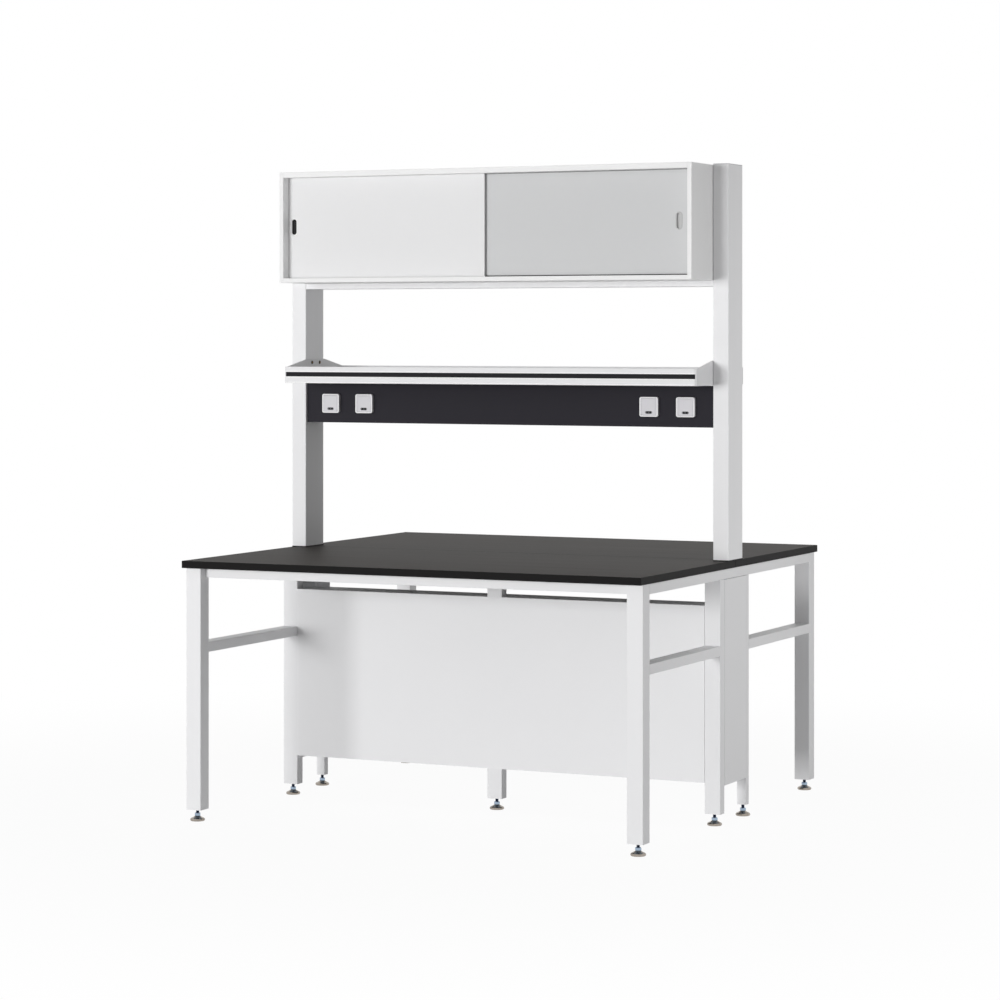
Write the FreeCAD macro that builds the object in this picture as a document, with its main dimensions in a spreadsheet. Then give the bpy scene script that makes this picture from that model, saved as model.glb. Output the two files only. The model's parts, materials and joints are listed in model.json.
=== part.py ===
"""Island laboratory bench: two worktops on a steel frame, with a pair of posts that carry
a power duct, a double-sided reagent shelf and a cabinet with sliding doors.

Frame: origin on the floor under the middle of the bench, +X to the right, -Y to the front,
+Z up. Lengths are in millimetres.
"""
import FreeCAD, Part
import math
import os
import re
import Sketcher
from FreeCAD import Placement, Rotation, Vector

DOC = FreeCAD.newDocument("LabBench")
SHEET = DOC.addObject("Spreadsheet::Sheet", "Sizes")
SIZE_NAME = re.compile(r"[a-z][a-z_0-9]*\b(?!\()")
FIRST_GUESS = 10.0
ON_LINE = 1e-3

# Driving dimensions: name, value, what it is.
SIZES = [
    ("top_width", 1500, "worktop, left to right"),
    ("top_depth", 750, "one worktop, front to back"),
    ("top_thickness", 22, "worktop board"),
    ("bench_height", 790, "floor to worktop surface"),
    ("top_edge_break", 1.2, "chamfer round the worktop's edges"),
    ("side_inset", 3, "frame's side behind the worktop's edge"),
    ("end_overhang", 23, "worktop's overhang past the outer legs"),
    ("leg_size", 50, "square leg, and width of the frame's side members"),
    ("tube_wall", 2, "wall of the frame's tubes"),
    ("tube_corner", 2, "outside corner radius of the frame's tubes"),
    ("leg_clear", 35, "underside of the legs above the floor"),
    ("rail_height", 30, "rails under the worktop"),
    ("apron_setback", 30, "apron behind the legs' outer face"),
    ("apron_depth", 30, "apron, front to back"),
    ("mid_rail_low", 510, "underside of the rails half-way up the side frames"),
    ("mid_rail_height", 30, "rails half-way up the side frames"),
    ("spine_leg_depth", 36, "inner legs of the front table, front to back"),
    ("spine_leg_front", 122, "front face of the spine legs, from the middle"),
    ("inner_leg_width", 30, "inner legs of the rear table, left to right"),
    ("inner_leg_depth", 25, "inner legs of the rear table, front to back"),
    ("inner_leg_face", 98, "front face of the rear table's inner legs, from the middle"),
    ("sheet", 1.5, "folded sheet metal"),
    ("end_panel_low", 118, "underside of the end panels"),
    ("end_panel_gap", 1, "shadow gap between end panel and side rail"),
    ("end_panel_fold", 50, "depth of the end panels' folded edges"),
    ("modesty_low", 128, "underside of the modesty panel"),
    ("modesty_open", 78, "open space between the modesty panel and the rail over it"),
    ("modesty_fold", 20, "modesty panel's lower folded edge"),
    ("modesty_reach", 121.5, "modesty panel's upper fold, front to back"),
    ("notch_gap", 1, "cut-out round the middle leg"),
    ("plug_height", 12, "threaded plug in the end of each leg"),
    ("stud_radius", 5, "threaded stud of a levelling foot"),
    ("thread_gap", 0.05, "running clearance of a stud in its plug"),
    ("stud_above_plug", 22, "stud inside the leg, past the plug"),
    ("pad_radius", 22.5, "levelling foot's pad"),
    ("pad_rim", 3, "straight rim of the pad"),
    ("pad_shoulder", 9, "height where the pad's cone meets its neck"),
    ("pad_neck", 8.6, "radius of the pad's neck"),
    ("pad_height", 14.5, "pad without its hexagon"),
    ("pad_hollow", 7, "radius between cone and neck"),
    ("hex_flats", 17, "foot's hexagon across its flats"),
    ("hex_height", 11, "foot's hexagon"),
    ("post_width", 50, "post, left to right"),
    ("post_depth", 120, "post, front to back"),
    ("post_wall", 2.5, "wall of the posts"),
    ("post_corner", 3, "corner radius of the posts"),
    ("total_height", 1990, "floor to top of the posts"),
    ("cap_thickness", 2.5, "plate of the caps that close the posts"),
    ("cap_edge_break", 0.6, "chamfer round a cap's top"),
    ("cap_skirt", 14, "cap's skirt inside the post"),
    ("cap_wall", 1.8, "wall of the cap's skirt"),
    ("cap_fit", 0.2, "cap's skirt in the post's wall"),
    ("gasket", 3, "pad between post and worktop"),
    ("base_plate", 8, "plate welded in the post's lower end"),
    ("base_plate_gap", 0.2, "base plate in the post's wall"),
    ("bolt_radius", 5, "bolts that hold the posts"),
    ("bolt_hole_gap", 0.5, "clearance of those bolts in their holes"),
    ("bolt_thread_gap", 0.05, "clearance of those bolts in the base plate"),
    ("bolt_head_radius", 8.5, "bolt's round flange head"),
    ("bolt_head_height", 6.4, "bolt's head"),
    ("bolt_from_middle", 30, "bolts' distance from the bench's middle plane"),
    ("duct_low", 1192, "underside of the power duct"),
    ("duct_height", 125, "power duct"),
    ("duct_front", 50, "power duct's face, from the middle plane"),
    ("duct_wall", 2.5, "power duct's wall"),
    ("fascia", 2.5, "cover strip of the power duct"),
    ("socket_size", 61, "socket frame, square"),
    ("socket_proud", 10, "socket frame in front of the cover strip"),
    ("socket_corner", 6.5, "socket frame's corner radius"),
    ("socket_rim_round", 1.4, "rounding of the socket frame's front edge"),
    ("socket_body", 54, "socket's body behind the cover strip, square"),
    ("socket_body_gap", 0.5, "socket's body in the cover strip's cut-out"),
    ("socket_body_depth", 24, "socket's body behind the cover strip's face"),
    ("socket_well", 40, "socket's well, square"),
    ("socket_well_depth", 15, "socket's well behind the lid's seat"),
    ("socket_well_corner", 6, "socket's well, corner radius"),
    ("contact_radius", 2.6, "socket's contact holes"),
    ("contact_apart", 19, "between the contact holes"),
    ("contact_depth", 8, "socket's contact holes"),
    ("socket_height", 1253.3, "middle of the sockets above the floor"),
    ("socket_end", 90, "outer sockets' middle from the end of the duct"),
    ("socket_pitch", 120, "from an outer socket to its neighbour"),
    ("lid_width", 46, "socket lid, left to right"),
    ("lid_height", 50, "socket lid, top to bottom"),
    ("lid_thickness", 2.6, "socket lid"),
    ("lid_barrel", 2.2, "radius of the lid's hinge barrel"),
    ("lid_gap", 0.45, "round the lid in its frame"),
    ("lid_corner", 3, "lid's lower corners"),
    ("pin_radius", 1, "hinge pin across the socket frame"),
    ("pin_gap", 0.05, "running clearance of the lid on its pin"),
    ("lid_grip_width", 19, "finger notch in the lid"),
    ("lid_grip_height", 6.2, "finger notch in the lid"),
    ("lid_grip_depth", 1, "finger notch in the lid"),
    ("lid_grip_low", 8, "middle of the finger notch above the lid's lower edge"),
    ("shelf_low", 1320, "underside of the reagent shelf"),
    ("shelf_rail_height", 52, "shelf's edge profile"),
    ("shelf_depth", 400, "reagent shelf, front to back"),
    ("shelf_rail_depth", 22, "shelf's edge profile, front to back"),
    ("shelf_lip", 12, "thickness of the profile above the board"),
    ("shelf_board_seat", 32, "board's seat above the profile's underside"),
    ("shelf_board_thickness", 12, "shelf board"),
    ("shelf_board_gap", 0.3, "round the shelf board"),
    ("groove_low", 21, "groove's lower edge above the profile's underside"),
    ("groove_height", 14, "groove in the profile's face"),
    ("groove_depth", 4, "groove in the profile's face"),
    ("strip_depth", 2.6, "strip in the groove"),
    ("chamber_wall", 2.2, "wall round the profile's hollow chamber"),
    ("bracket_plate", 4, "shelf bracket"),
    ("bracket_rise", 23, "bracket's middle above the profile's top"),
    ("bracket_toe", 3, "bracket's end behind the profile's face"),
    ("bracket_slope_end", 18, "lower end of the bracket's slope behind the profile's face"),
    ("bracket_corner", 4, "rounding of the bracket's upper corners"),
    ("screw_apart", 51, "between a bracket's screws"),
    ("screw_below_edge", 11, "bracket screws below the bracket's upper edge"),
    ("screw_radius", 2.5, "bracket screw's shank"),
    ("screw_head_radius", 5.5, "bracket screw's head"),
    ("screw_head_height", 2.9, "bracket screw's head"),
    ("screw_head_edge", 0.8, "straight edge of the bracket screw's head"),
    ("screw_head_flat", 3.4, "radius of the flat on the bracket screw's head"),
    ("screw_gap", 0.05, "bracket screw's shank in its holes"),
    ("beam_height", 18, "cross beam under the cabinet"),
    ("beam_inset", 3, "cross beam's faces behind the posts' faces"),
    ("cabinet_drop", 3.5, "cabinet's top below the tops of the posts"),
    ("cabinet_height", 349, "cabinet"),
    ("cabinet_front", 235, "cabinet's front, from the middle plane"),
    ("cabinet_gap", 0.5, "cabinet beside each post"),
    ("cabinet_side", 14, "cabinet's side boards"),
    ("cabinet_top_board", 17, "cabinet's top board"),
    ("cabinet_bottom_board", 14, "cabinet's bottom board"),
    ("cabinet_rear_board", 6, "cabinet's back board"),
    ("cabinet_edge_break", 0.8, "chamfer of the cabinet's boards"),
    ("door_setback", 36, "front door's face behind the cabinet's front"),
    ("door_spacing", 12.5, "from the front door's face to the rear door's face"),
    ("door_thickness", 7, "sliding door"),
    ("door_sheet", 1.2, "sliding door's sheet"),
    ("door_fold", 14, "folded rim round a sliding door's back"),
    ("door_overlap", 4, "overlap of the closed doors"),
    ("door_corner", 1, "edge radius of a sliding door"),
    ("door_rebate", 9, "rebate along the lower edge of a door's face"),
    ("door_rebate_depth", 3, "rebate, from the door's face to its tongue"),
    ("door_jamb_gap", 0.4, "closed door beside the cabinet's side"),
    ("track_gap", 1, "between a door and each wall of its groove"),
    ("track_floor", 2, "track under the grooves"),
    ("track_fin", 2.2, "track's front and rear walls"),
    ("track_fit", 0.1, "track in the recess of its board"),
    ("lower_track", 7, "height of the lower track"),
    ("upper_track", 11, "height of the upper track"),
    ("door_ride_gap", 0.5, "door above the lower groove's floor"),
    ("door_lift_gap", 5.5, "door below the upper groove's floor"),
    ("pull_width", 22, "door pull, left to right"),
    ("pull_height", 54, "door pull, top to bottom"),
    ("pull_flange", 0.9, "door pull's rim in front of the door"),
    ("pull_rim", 1.6, "width of the door pull's rim on the door"),
    ("pull_wall", 1.2, "wall of the door pull's cup"),
    ("pull_depth", 8.6, "door pull's cup behind the door's face"),
    ("pull_fit", 0.2, "cup in the door's cut-out"),
    ("left_pull_inset", 20, "left pull's middle from its door's outer edge"),
    ("right_pull_inset", 44.4, "right pull's middle from its door's outer edge"),
]

# Places that more than one piece takes from the sheet.
FRAME_SIDE = "(top_width / 2 - side_inset)"
FRAME_INNER = "(top_width / 2 - side_inset - leg_size)"
OUTER_LEG_FRONT = "(top_depth - end_overhang)"
OUTER_LEG_BACK = "(top_depth - end_overhang - leg_size)"
RAIL_TOP = "(bench_height - top_thickness)"
RAIL_LOW = "(bench_height - top_thickness - rail_height)"
SPINE_LEG_BACK = "(spine_leg_front - spine_leg_depth)"
MODESTY_HEIGHT = "(bench_height - top_thickness - rail_height - modesty_open - modesty_low)"
END_PANEL_TOP = "(bench_height - top_thickness - rail_height - end_panel_gap)"
POST_INNER = "(top_width / 2 - post_width)"
POST_LOW = "(bench_height + gasket)"
DUCT_WIDTH = "(top_width - 2 * post_width)"
SOCKET_FRONT = "(duct_front + socket_proud)"
LID_RECESS = "(2 * lid_barrel + lid_gap)"
SHELF_END = "(top_width / 2 - post_width - bracket_plate)"
SHELF_TOP = "(shelf_low + shelf_rail_height)"
CABINET_LOW = "(total_height - cabinet_drop - cabinet_height)"
OPENING_SIDE = "(top_width / 2 - post_width - cabinet_gap - cabinet_side)"
OPENING_WIDTH = "(2 * %s)" % OPENING_SIDE
OPENING_LOW = "(total_height - cabinet_drop - cabinet_height + cabinet_bottom_board)"
OPENING_HIGH = "(total_height - cabinet_drop - cabinet_top_board)"
FRONT_DOOR_FACE = "(cabinet_front - door_setback)"
REAR_DOOR_FACE = "(cabinet_front - door_setback - door_spacing)"
DOOR_WIDTH = "((%s + door_overlap) / 2 - door_jamb_gap)" % OPENING_WIDTH
DOOR_LOW = "(%s - lower_track + track_floor + door_ride_gap)" % OPENING_LOW
DOOR_HIGH = "(%s + upper_track - track_floor - door_lift_gap)" % OPENING_HIGH
DOOR_HEIGHT = "(%s - %s)" % (DOOR_HIGH, DOOR_LOW)
PULL_RISE = "((%s + door_rebate) / 2)" % DOOR_HEIGHT
TRACK_FRONT = "(%s + track_gap + track_fin)" % FRONT_DOOR_FACE
TRACK_DEPTH = "(2 * track_fin + 2 * track_gap + door_spacing + door_thickness)"

PARTS = []


def bind(item, prop, formula):
    """Tie one property to a formula written in the sheet's own names."""
    item.setExpression(prop, SIZE_NAME.sub(r"Sizes.\g<0>", formula))


def make_sheet():
    for row, (name, value, meaning) in enumerate(SIZES, start=1):
        SHEET.set("A%d" % row, name)
        SHEET.set("B%d" % row, str(value))
        SHEET.setAlias("B%d" % row, name)
        SHEET.set("C%d" % row, meaning)
    DOC.recompute()


def place(item, corner, turn=None):
    """Put a piece's own origin at three formulas, turned when the piece is a mirror twin."""
    if turn is not None:
        item.Placement = Placement(Vector(), turn)
    for letter, formula in zip("xyz", corner):
        bind(item, "Placement.Base." + letter, formula)


def new_body(label, corner, turn=None):
    item = DOC.addObject("PartDesign::Body", label)
    item.Label = label
    place(item, corner, turn)
    return item


def sub_part(item):
    """List a finished piece as a sub-part of the bench."""
    PARTS.append(item)
    return item


def group(label, members):
    """Several like pieces that share one node."""
    item = DOC.addObject("Part::Compound", label)
    item.Label = label
    item.Links = members
    return sub_part(item)


def sketch_on(item, plane, offset=None):
    """A sketch on one of a body's own origin planes, moved along the plane's normal."""
    sketch = item.newObject("Sketcher::SketchObject", item.Label + "_sketch")
    support = next(face for face in item.Origin.OriginFeatures if face.Role == plane)
    sketch.AttachmentSupport = [(support, "")]
    sketch.MapMode = "FlatFace"
    if offset is not None:
        bind(sketch, "AttachmentOffset.Base.z", offset)
    return sketch


def pin_point(sketch, geometry, point, across, along, guess):
    """Hold a sketch point at two formulas measured from the sketch's origin."""
    for kind, formula, value in (("DistanceX", across, guess.x), ("DistanceY", along, guess.y)):
        index = sketch.addConstraint(Sketcher.Constraint(kind, -1, 1, geometry, point, value))
        bind(sketch, "Constraints[%d]" % index, formula)


def outline(sketch, corners):
    """A closed outline of straight lines through points given as pairs of formulas."""
    count = len(corners)
    first = sketch.GeometryCount
    ring = []
    for step in range(count):
        angle = 2 * math.pi * step / count
        ring.append(Vector(FIRST_GUESS * math.cos(angle), FIRST_GUESS * math.sin(angle), 0))
    lines = [Part.LineSegment(ring[step], ring[(step + 1) % count]) for step in range(count)]
    sketch.addGeometry(lines, False)
    for step in range(count):
        follower = first + (step + 1) % count
        sketch.addConstraint(Sketcher.Constraint("Coincident", first + step, 2, follower, 1))
    for step, (across, along) in enumerate(corners):
        pin_point(sketch, first + step, 1, across, along, ring[step])


def rectangle(sketch, left, low, right, high):
    outline(sketch, [(left, low), (right, low), (right, high), (left, high)])


def circle(sketch, across, along, radius):
    centre = Vector(FIRST_GUESS, FIRST_GUESS, 0)
    index = sketch.addGeometry(Part.Circle(centre, Vector(0, 0, 1), FIRST_GUESS), False)
    limit = sketch.addConstraint(Sketcher.Constraint("Radius", index, FIRST_GUESS))
    bind(sketch, "Constraints[%d]" % limit, radius)
    pin_point(sketch, index, 3, across, along, centre)


def pill(sketch, across, along, half_width, half_length, lying=False):
    """A slot outline, upright or lying: two half circles joined by straight sides."""
    first = sketch.GeometryCount
    guess = FIRST_GUESS
    lean = math.pi / 2 if lying else 0
    end = Vector(-math.sin(lean), math.cos(lean), 0) * guess
    side = Vector(math.cos(lean), math.sin(lean), 0) * guess
    normal = Vector(0, 0, 1)
    sketch.addGeometry([
        Part.ArcOfCircle(Part.Circle(end, normal, guess), lean, lean + math.pi),
        Part.LineSegment(end - side, -end - side),
        Part.ArcOfCircle(Part.Circle(-end, normal, guess), lean + math.pi, lean + 2 * math.pi),
        Part.LineSegment(side - end, side + end),
    ], False)
    for step in range(4):
        follower = first + (step + 1) % 4
        sketch.addConstraint(Sketcher.Constraint("Tangent", first + step, 2, follower, 1))
    sketch.addConstraint(Sketcher.Constraint("Equal", first, first + 2))
    limit = sketch.addConstraint(Sketcher.Constraint("Radius", first, guess))
    bind(sketch, "Constraints[%d]" % limit, half_width)
    reach = "(%s - %s)" % (half_length, half_width)
    for arc, sense in ((first, 1), (first + 2, -1)):
        if lying:
            places = ("%s %s %s" % (across, "-" if sense > 0 else "+", reach), along)
        else:
            places = (across, "%s %s %s" % (along, "+" if sense > 0 else "-", reach))
        pin_point(sketch, arc, 3, places[0], places[1], end * sense)


def solid_volume(item):
    DOC.recompute()
    return item.Shape.Volume if not item.Shape.isNull() else 0.0


def pad(item, sketch, length, backwards=False, midplane=False):
    """Add material and make sure that some was added."""
    before = solid_volume(item)
    feature = item.newObject("PartDesign::Pad", item.Label + "_pad")
    feature.Profile = sketch
    bind(feature, "Length", length)
    feature.Reversed = backwards
    feature.Midplane = midplane
    if solid_volume(item) <= before:
        raise RuntimeError("a pad adds nothing to " + item.Label)
    return feature


def pocket(item, sketch, length, backwards=False, midplane=False):
    """Take material away and make sure that some was taken."""
    before = solid_volume(item)
    feature = item.newObject("PartDesign::Pocket", item.Label + "_pocket")
    feature.Profile = sketch
    bind(feature, "Length", length)
    feature.Reversed = backwards
    feature.Midplane = midplane
    if solid_volume(item) >= before:
        raise RuntimeError("a pocket cuts nothing from " + item.Label)
    return feature


def straight_edges(feature, axis, wanted):
    """Names of a feature's straight edges along an axis (0, 1, 2) that pass a test."""
    found = []
    for number, edge in enumerate(feature.Shape.Edges, start=1):
        if len(edge.Vertexes) != 2:
            continue
        span = edge.Vertexes[1].Point - edge.Vertexes[0].Point
        if abs(abs(span[axis]) - edge.Length) < ON_LINE and wanted(edge):
            found.append("Edge%d" % number)
    return found


def at_corner(feature, axis):
    """A test for edges on the outer corners of a feature, seen along an axis."""
    box = feature.Shape.BoundBox
    low = Vector(box.XMin, box.YMin, box.ZMin)
    high = Vector(box.XMax, box.YMax, box.ZMax)
    others = [index for index in range(3) if index != axis]

    def wanted(edge):
        middle = edge.CenterOfMass
        return all(min(middle[i] - low[i], high[i] - middle[i]) < ON_LINE for i in others)

    return wanted


def edges_of(feature, face):
    """Names of the edges round one face of a feature."""
    return ["Edge%d" % number for number, edge in enumerate(feature.Shape.Edges, start=1)
            if any(edge.isSame(other) for other in face.Edges)]


def soften(item, feature, edges, size, kind="PartDesign::Fillet"):
    """Round or chamfer named edges of a feature."""
    edge_work = item.newObject(kind, item.Label + "_edges")
    edge_work.Base = (feature, edges)
    bind(edge_work, "Size" if kind == "PartDesign::Chamfer" else "Radius", size)
    DOC.recompute()
    return edge_work


PLANE_OF_AXIS = {"x": "YZ_Plane", "y": "XZ_Plane", "z": "XY_Plane"}


def tube(label, axis, across, along, length, corner, wall="tube_wall", radius="tube_corner"):
    """A hollow section along an axis, from the low corner of its own box."""
    item = new_body(label, corner)
    sketch = sketch_on(item, PLANE_OF_AXIS[axis])
    rectangle(sketch, "0", "0", across, along)
    rectangle(sketch, wall, wall, "%s - %s" % (across, wall), "%s - %s" % (along, wall))
    feature = pad(item, sketch, length, backwards=(axis == "y"))
    number = "xyz".index(axis)
    soften(item, feature, straight_edges(feature, number, at_corner(feature, number)), radius)
    return item


def board(label, size, corner, edge_break, axes=(0, 1, 2)):
    """A rectangular board with its long edges broken."""
    item = new_body(label, corner)
    sketch = sketch_on(item, "XY_Plane")
    rectangle(sketch, "0", "0", size[0], size[1])
    feature = pad(item, sketch, size[2])
    edges = []
    for axis in axes:
        edges += straight_edges(feature, axis, at_corner(feature, axis))
    soften(item, feature, edges, edge_break, "PartDesign::Chamfer")
    return item


def sides():
    """Name and sign of the left and the right side."""
    return (("left", -1), ("right", 1))


def low_edge(sign, inner, width):
    """Lower X of a piece that starts at an inner distance on one side of the bench."""
    return inner if sign > 0 else "-%s - %s" % (inner, width)


# --- Worktops ---------------------------------------------------------------------------

def make_worktops():
    """Two solid boards that meet on the middle plane, drilled for the post bolts."""
    for name, start in (("front", "-top_depth"), ("rear", "0")):
        top = board(
            "worktop_" + name,
            ("top_width", "top_depth", "top_thickness"),
            ("-top_width / 2", start, RAIL_TOP),
            "top_edge_break",
        )
        holes = sketch_on(top, "XY_Plane")
        along = "top_depth - bolt_from_middle" if name == "front" else "bolt_from_middle"
        for across in ("post_width / 2", "top_width - post_width / 2"):
            circle(holes, across, along, "bolt_radius + bolt_hole_gap")
        pocket(top, holes, "top_thickness", backwards=True)
        sub_part(top)


# --- Frame ------------------------------------------------------------------------------

def leg_plan():
    """Every leg: name, width, depth, low X, low Y and top."""
    legs = []
    for side, sign in sides():
        outer = low_edge(sign, FRAME_INNER, "leg_size")
        inner = low_edge(sign, "(%s - inner_leg_width)" % FRAME_SIDE, "inner_leg_width")
        legs += [
            ("front_leg_" + side, "leg_size", "leg_size", outer, "-" + OUTER_LEG_FRONT, RAIL_TOP),
            ("rear_leg_" + side, "leg_size", "leg_size", outer, OUTER_LEG_BACK, RAIL_TOP),
            ("spine_leg_" + side, "leg_size", "spine_leg_depth", outer, "-spine_leg_front",
             RAIL_LOW),
            ("inner_leg_" + side, "inner_leg_width", "inner_leg_depth", inner,
             "inner_leg_face", RAIL_LOW),
        ]
    legs.append(("spine_leg_centre", "leg_size", "spine_leg_depth", "-leg_size / 2",
                 "-spine_leg_front", RAIL_LOW))
    return legs


def make_legs():
    plugs = []
    for name, width, depth, low_x, low_y, top in leg_plan():
        sub_part(tube(name, "z", width, depth, "%s - leg_clear" % top,
                      (low_x, low_y, "leg_clear")))
        plugs.append(make_plug(name, width, depth, low_x, low_y))
        make_foot(name, width, depth, low_x, low_y)
    group("leg_plugs", plugs)


def make_plug(name, width, depth, low_x, low_y):
    """Threaded plug that closes the lower end of a leg."""
    plug = new_body(
        name + "_plug",
        ("%s + tube_wall" % low_x, "%s + tube_wall" % low_y, "leg_clear"),
    )
    sketch = sketch_on(plug, "XY_Plane")
    rectangle(sketch, "0", "0", "%s - 2 * tube_wall" % width, "%s - 2 * tube_wall" % depth)
    circle(sketch, "%s / 2 - tube_wall" % width, "%s / 2 - tube_wall" % depth,
           "stud_radius + thread_gap")
    pad(plug, sketch, "plug_height")
    return plug


def make_foot(leg_name, width, depth, low_x, low_y):
    """Levelling foot: a bell-shaped pad, its hexagon and the stud that turns in the plug."""
    foot = new_body(
        leg_name.replace("_leg", "") + "_foot",
        ("%s + %s / 2" % (low_x, width), "%s + %s / 2" % (low_y, depth), "0"),
    )
    profile = sketch_on(foot, "XZ_Plane")
    stud_top = "leg_clear + plug_height + stud_above_plug"
    outline(profile, [
        ("0", "0"), ("pad_radius", "0"), ("pad_radius", "pad_rim"),
        ("pad_neck", "pad_shoulder"), ("pad_neck", "pad_height"),
        ("stud_radius", "pad_height"), ("stud_radius", stud_top), ("0", stud_top),
    ])
    bell = foot.newObject("PartDesign::Revolution", foot.Label + "_bell")
    bell.Profile = profile
    bell.ReferenceAxis = (profile, ["V_Axis"])
    DOC.recompute()
    rounded = soften(foot, bell, ring_edges(bell, "pad_neck", "pad_shoulder"), "pad_hollow")
    soften(foot, rounded, ring_edges(rounded, "pad_radius", "pad_rim"), "pad_rim / 2")
    nut = sketch_on(foot, "XY_Plane", "pad_height")
    half, tip = "hex_flats / 2", "hex_flats / (2 * sqrt(3))"
    outline(nut, [
        (half, "-" + tip), (half, tip), ("0", "hex_flats / sqrt(3)"),
        ("-" + half, tip), ("-" + half, "-" + tip), ("0", "-hex_flats / sqrt(3)"),
    ])
    pad(foot, nut, "hex_height")
    sub_part(foot)


def ring_edges(feature, radius_name, level_name):
    """Round edges of a feature that have a sheet radius at a sheet height."""
    radius = SHEET.get(radius_name)
    level = SHEET.get(level_name)
    found = []
    for number, edge in enumerate(feature.Shape.Edges, start=1):
        curve = edge.Curve
        if isinstance(curve, Part.Circle) and abs(curve.Radius - radius) < ON_LINE:
            if abs(curve.Center.z - level) < ON_LINE:
                found.append("Edge%d" % number)
    return found


def make_rails():
    """Aprons, side rails, half-way rails and the two rails over the inner legs."""
    span = "2 * " + FRAME_INNER
    apron_face = "(top_depth - end_overhang - apron_setback)"
    for name, low_y in (("front", "-" + apron_face), ("rear", apron_face + " - apron_depth")):
        sub_part(tube("apron_rail_" + name, "x", "apron_depth", "rail_height", span,
                      ("-" + FRAME_INNER, low_y, RAIL_LOW)))
    sub_part(tube("spine_rail", "x", "spine_leg_depth", "rail_height", span,
                  ("-" + FRAME_INNER, "-spine_leg_front", RAIL_LOW)))
    sub_part(tube("inner_rail", "x", "inner_leg_depth", "rail_height", span,
                  ("-" + FRAME_INNER, "inner_leg_face", RAIL_LOW)))
    side_rails = []
    mid_rails = []
    inner_back = "(inner_leg_face + inner_leg_depth)"
    for side, sign in sides():
        low_x = low_edge(sign, FRAME_INNER, "leg_size")
        for name, low_y in (("front", "-" + OUTER_LEG_BACK), ("rear", "0")):
            rail = tube("side_rail_%s_%s" % (name, side), "y", "leg_size", "rail_height",
                        OUTER_LEG_BACK, (low_x, low_y, RAIL_LOW))
            drill_side_rail(rail, name)
            side_rails.append(rail)
        for name, low_y, length in (
            ("front", "-" + OUTER_LEG_BACK, "%s - spine_leg_front" % OUTER_LEG_BACK),
            ("rear", inner_back, "%s - %s" % (OUTER_LEG_BACK, inner_back)),
        ):
            mid_rails.append(tube("mid_rail_%s_%s" % (name, side), "y", "leg_size",
                                  "mid_rail_height", length, (low_x, low_y, "mid_rail_low")))
    group("side_rails", side_rails)
    group("mid_rails", mid_rails)


def drill_side_rail(rail, name):
    """Holes for a post bolt through both walls of a side rail."""
    across = "post_width / 2 - side_inset" if rail.Label.endswith("left") else (
        "leg_size + side_inset - post_width / 2")
    along = "%s - bolt_from_middle" % OUTER_LEG_BACK if name == "front" else "bolt_from_middle"
    hole = sketch_on(rail, "XY_Plane")
    circle(hole, across, along, "bolt_radius + bolt_hole_gap")
    pocket(rail, hole, "rail_height", backwards=True)


def make_end_panels():
    """Folded trays that close the sides between the inner legs, two at each end."""
    trays = []
    for side, sign in sides():
        for name, low_y, high_y in (
            ("front", "-" + SPINE_LEG_BACK, "0"), ("rear", "0", "inner_leg_face"),
        ):
            length = "(%s - (%s))" % (high_y, low_y)
            turn = Rotation(Vector(0, 0, 1), 180) if sign < 0 else None
            corner = (FRAME_SIDE + " - end_panel_fold", low_y, "end_panel_low")
            if sign < 0:
                corner = ("end_panel_fold - " + FRAME_SIDE, high_y, "end_panel_low")
            tray = new_body("end_panel_%s_%s" % (name, side), corner, turn)
            height = "(%s - end_panel_low)" % END_PANEL_TOP
            blank = sketch_on(tray, "YZ_Plane")
            rectangle(blank, "0", "0", length, height)
            pad(tray, blank, "end_panel_fold")
            hollow = sketch_on(tray, "YZ_Plane")
            rectangle(hollow, "sheet", "sheet", "%s - sheet" % length, height)
            pocket(tray, hollow, "end_panel_fold - sheet", backwards=True)
            trays.append(tray)
    group("end_panels", trays)


def make_modesty_panel():
    """Folded sheet in front of the middle leg, with closed ends and a deep upper fold."""
    width = "(2 * %s)" % FRAME_INNER
    height = MODESTY_HEIGHT
    panel = new_body("modesty_panel",
                     ("-" + FRAME_INNER, "-(spine_leg_front + sheet)", "modesty_low"))
    fold = sketch_on(panel, "YZ_Plane")
    outline(fold, [
        ("0", "0"), ("modesty_fold", "0"), ("modesty_fold", "sheet"), ("sheet", "sheet"),
        ("sheet", height + " - sheet"), ("modesty_reach", height + " - sheet"),
        ("modesty_reach", height), ("0", height),
    ])
    pad(panel, fold, width)
    for offset, backwards in (("0", False), (width, True)):
        end = sketch_on(panel, "YZ_Plane", offset)
        rectangle(end, "0", "0", "spine_leg_depth", height)
        pad(panel, end, "sheet", backwards=backwards)
    notch = sketch_on(panel, "XY_Plane")
    middle = FRAME_INNER
    rectangle(notch, "%s - leg_size / 2 - notch_gap" % middle, "sheet",
              "%s + leg_size / 2 + notch_gap" % middle, "sheet + spine_leg_depth + notch_gap")
    pocket(panel, notch, height, backwards=True)
    sub_part(panel)


# --- Posts ------------------------------------------------------------------------------

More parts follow.
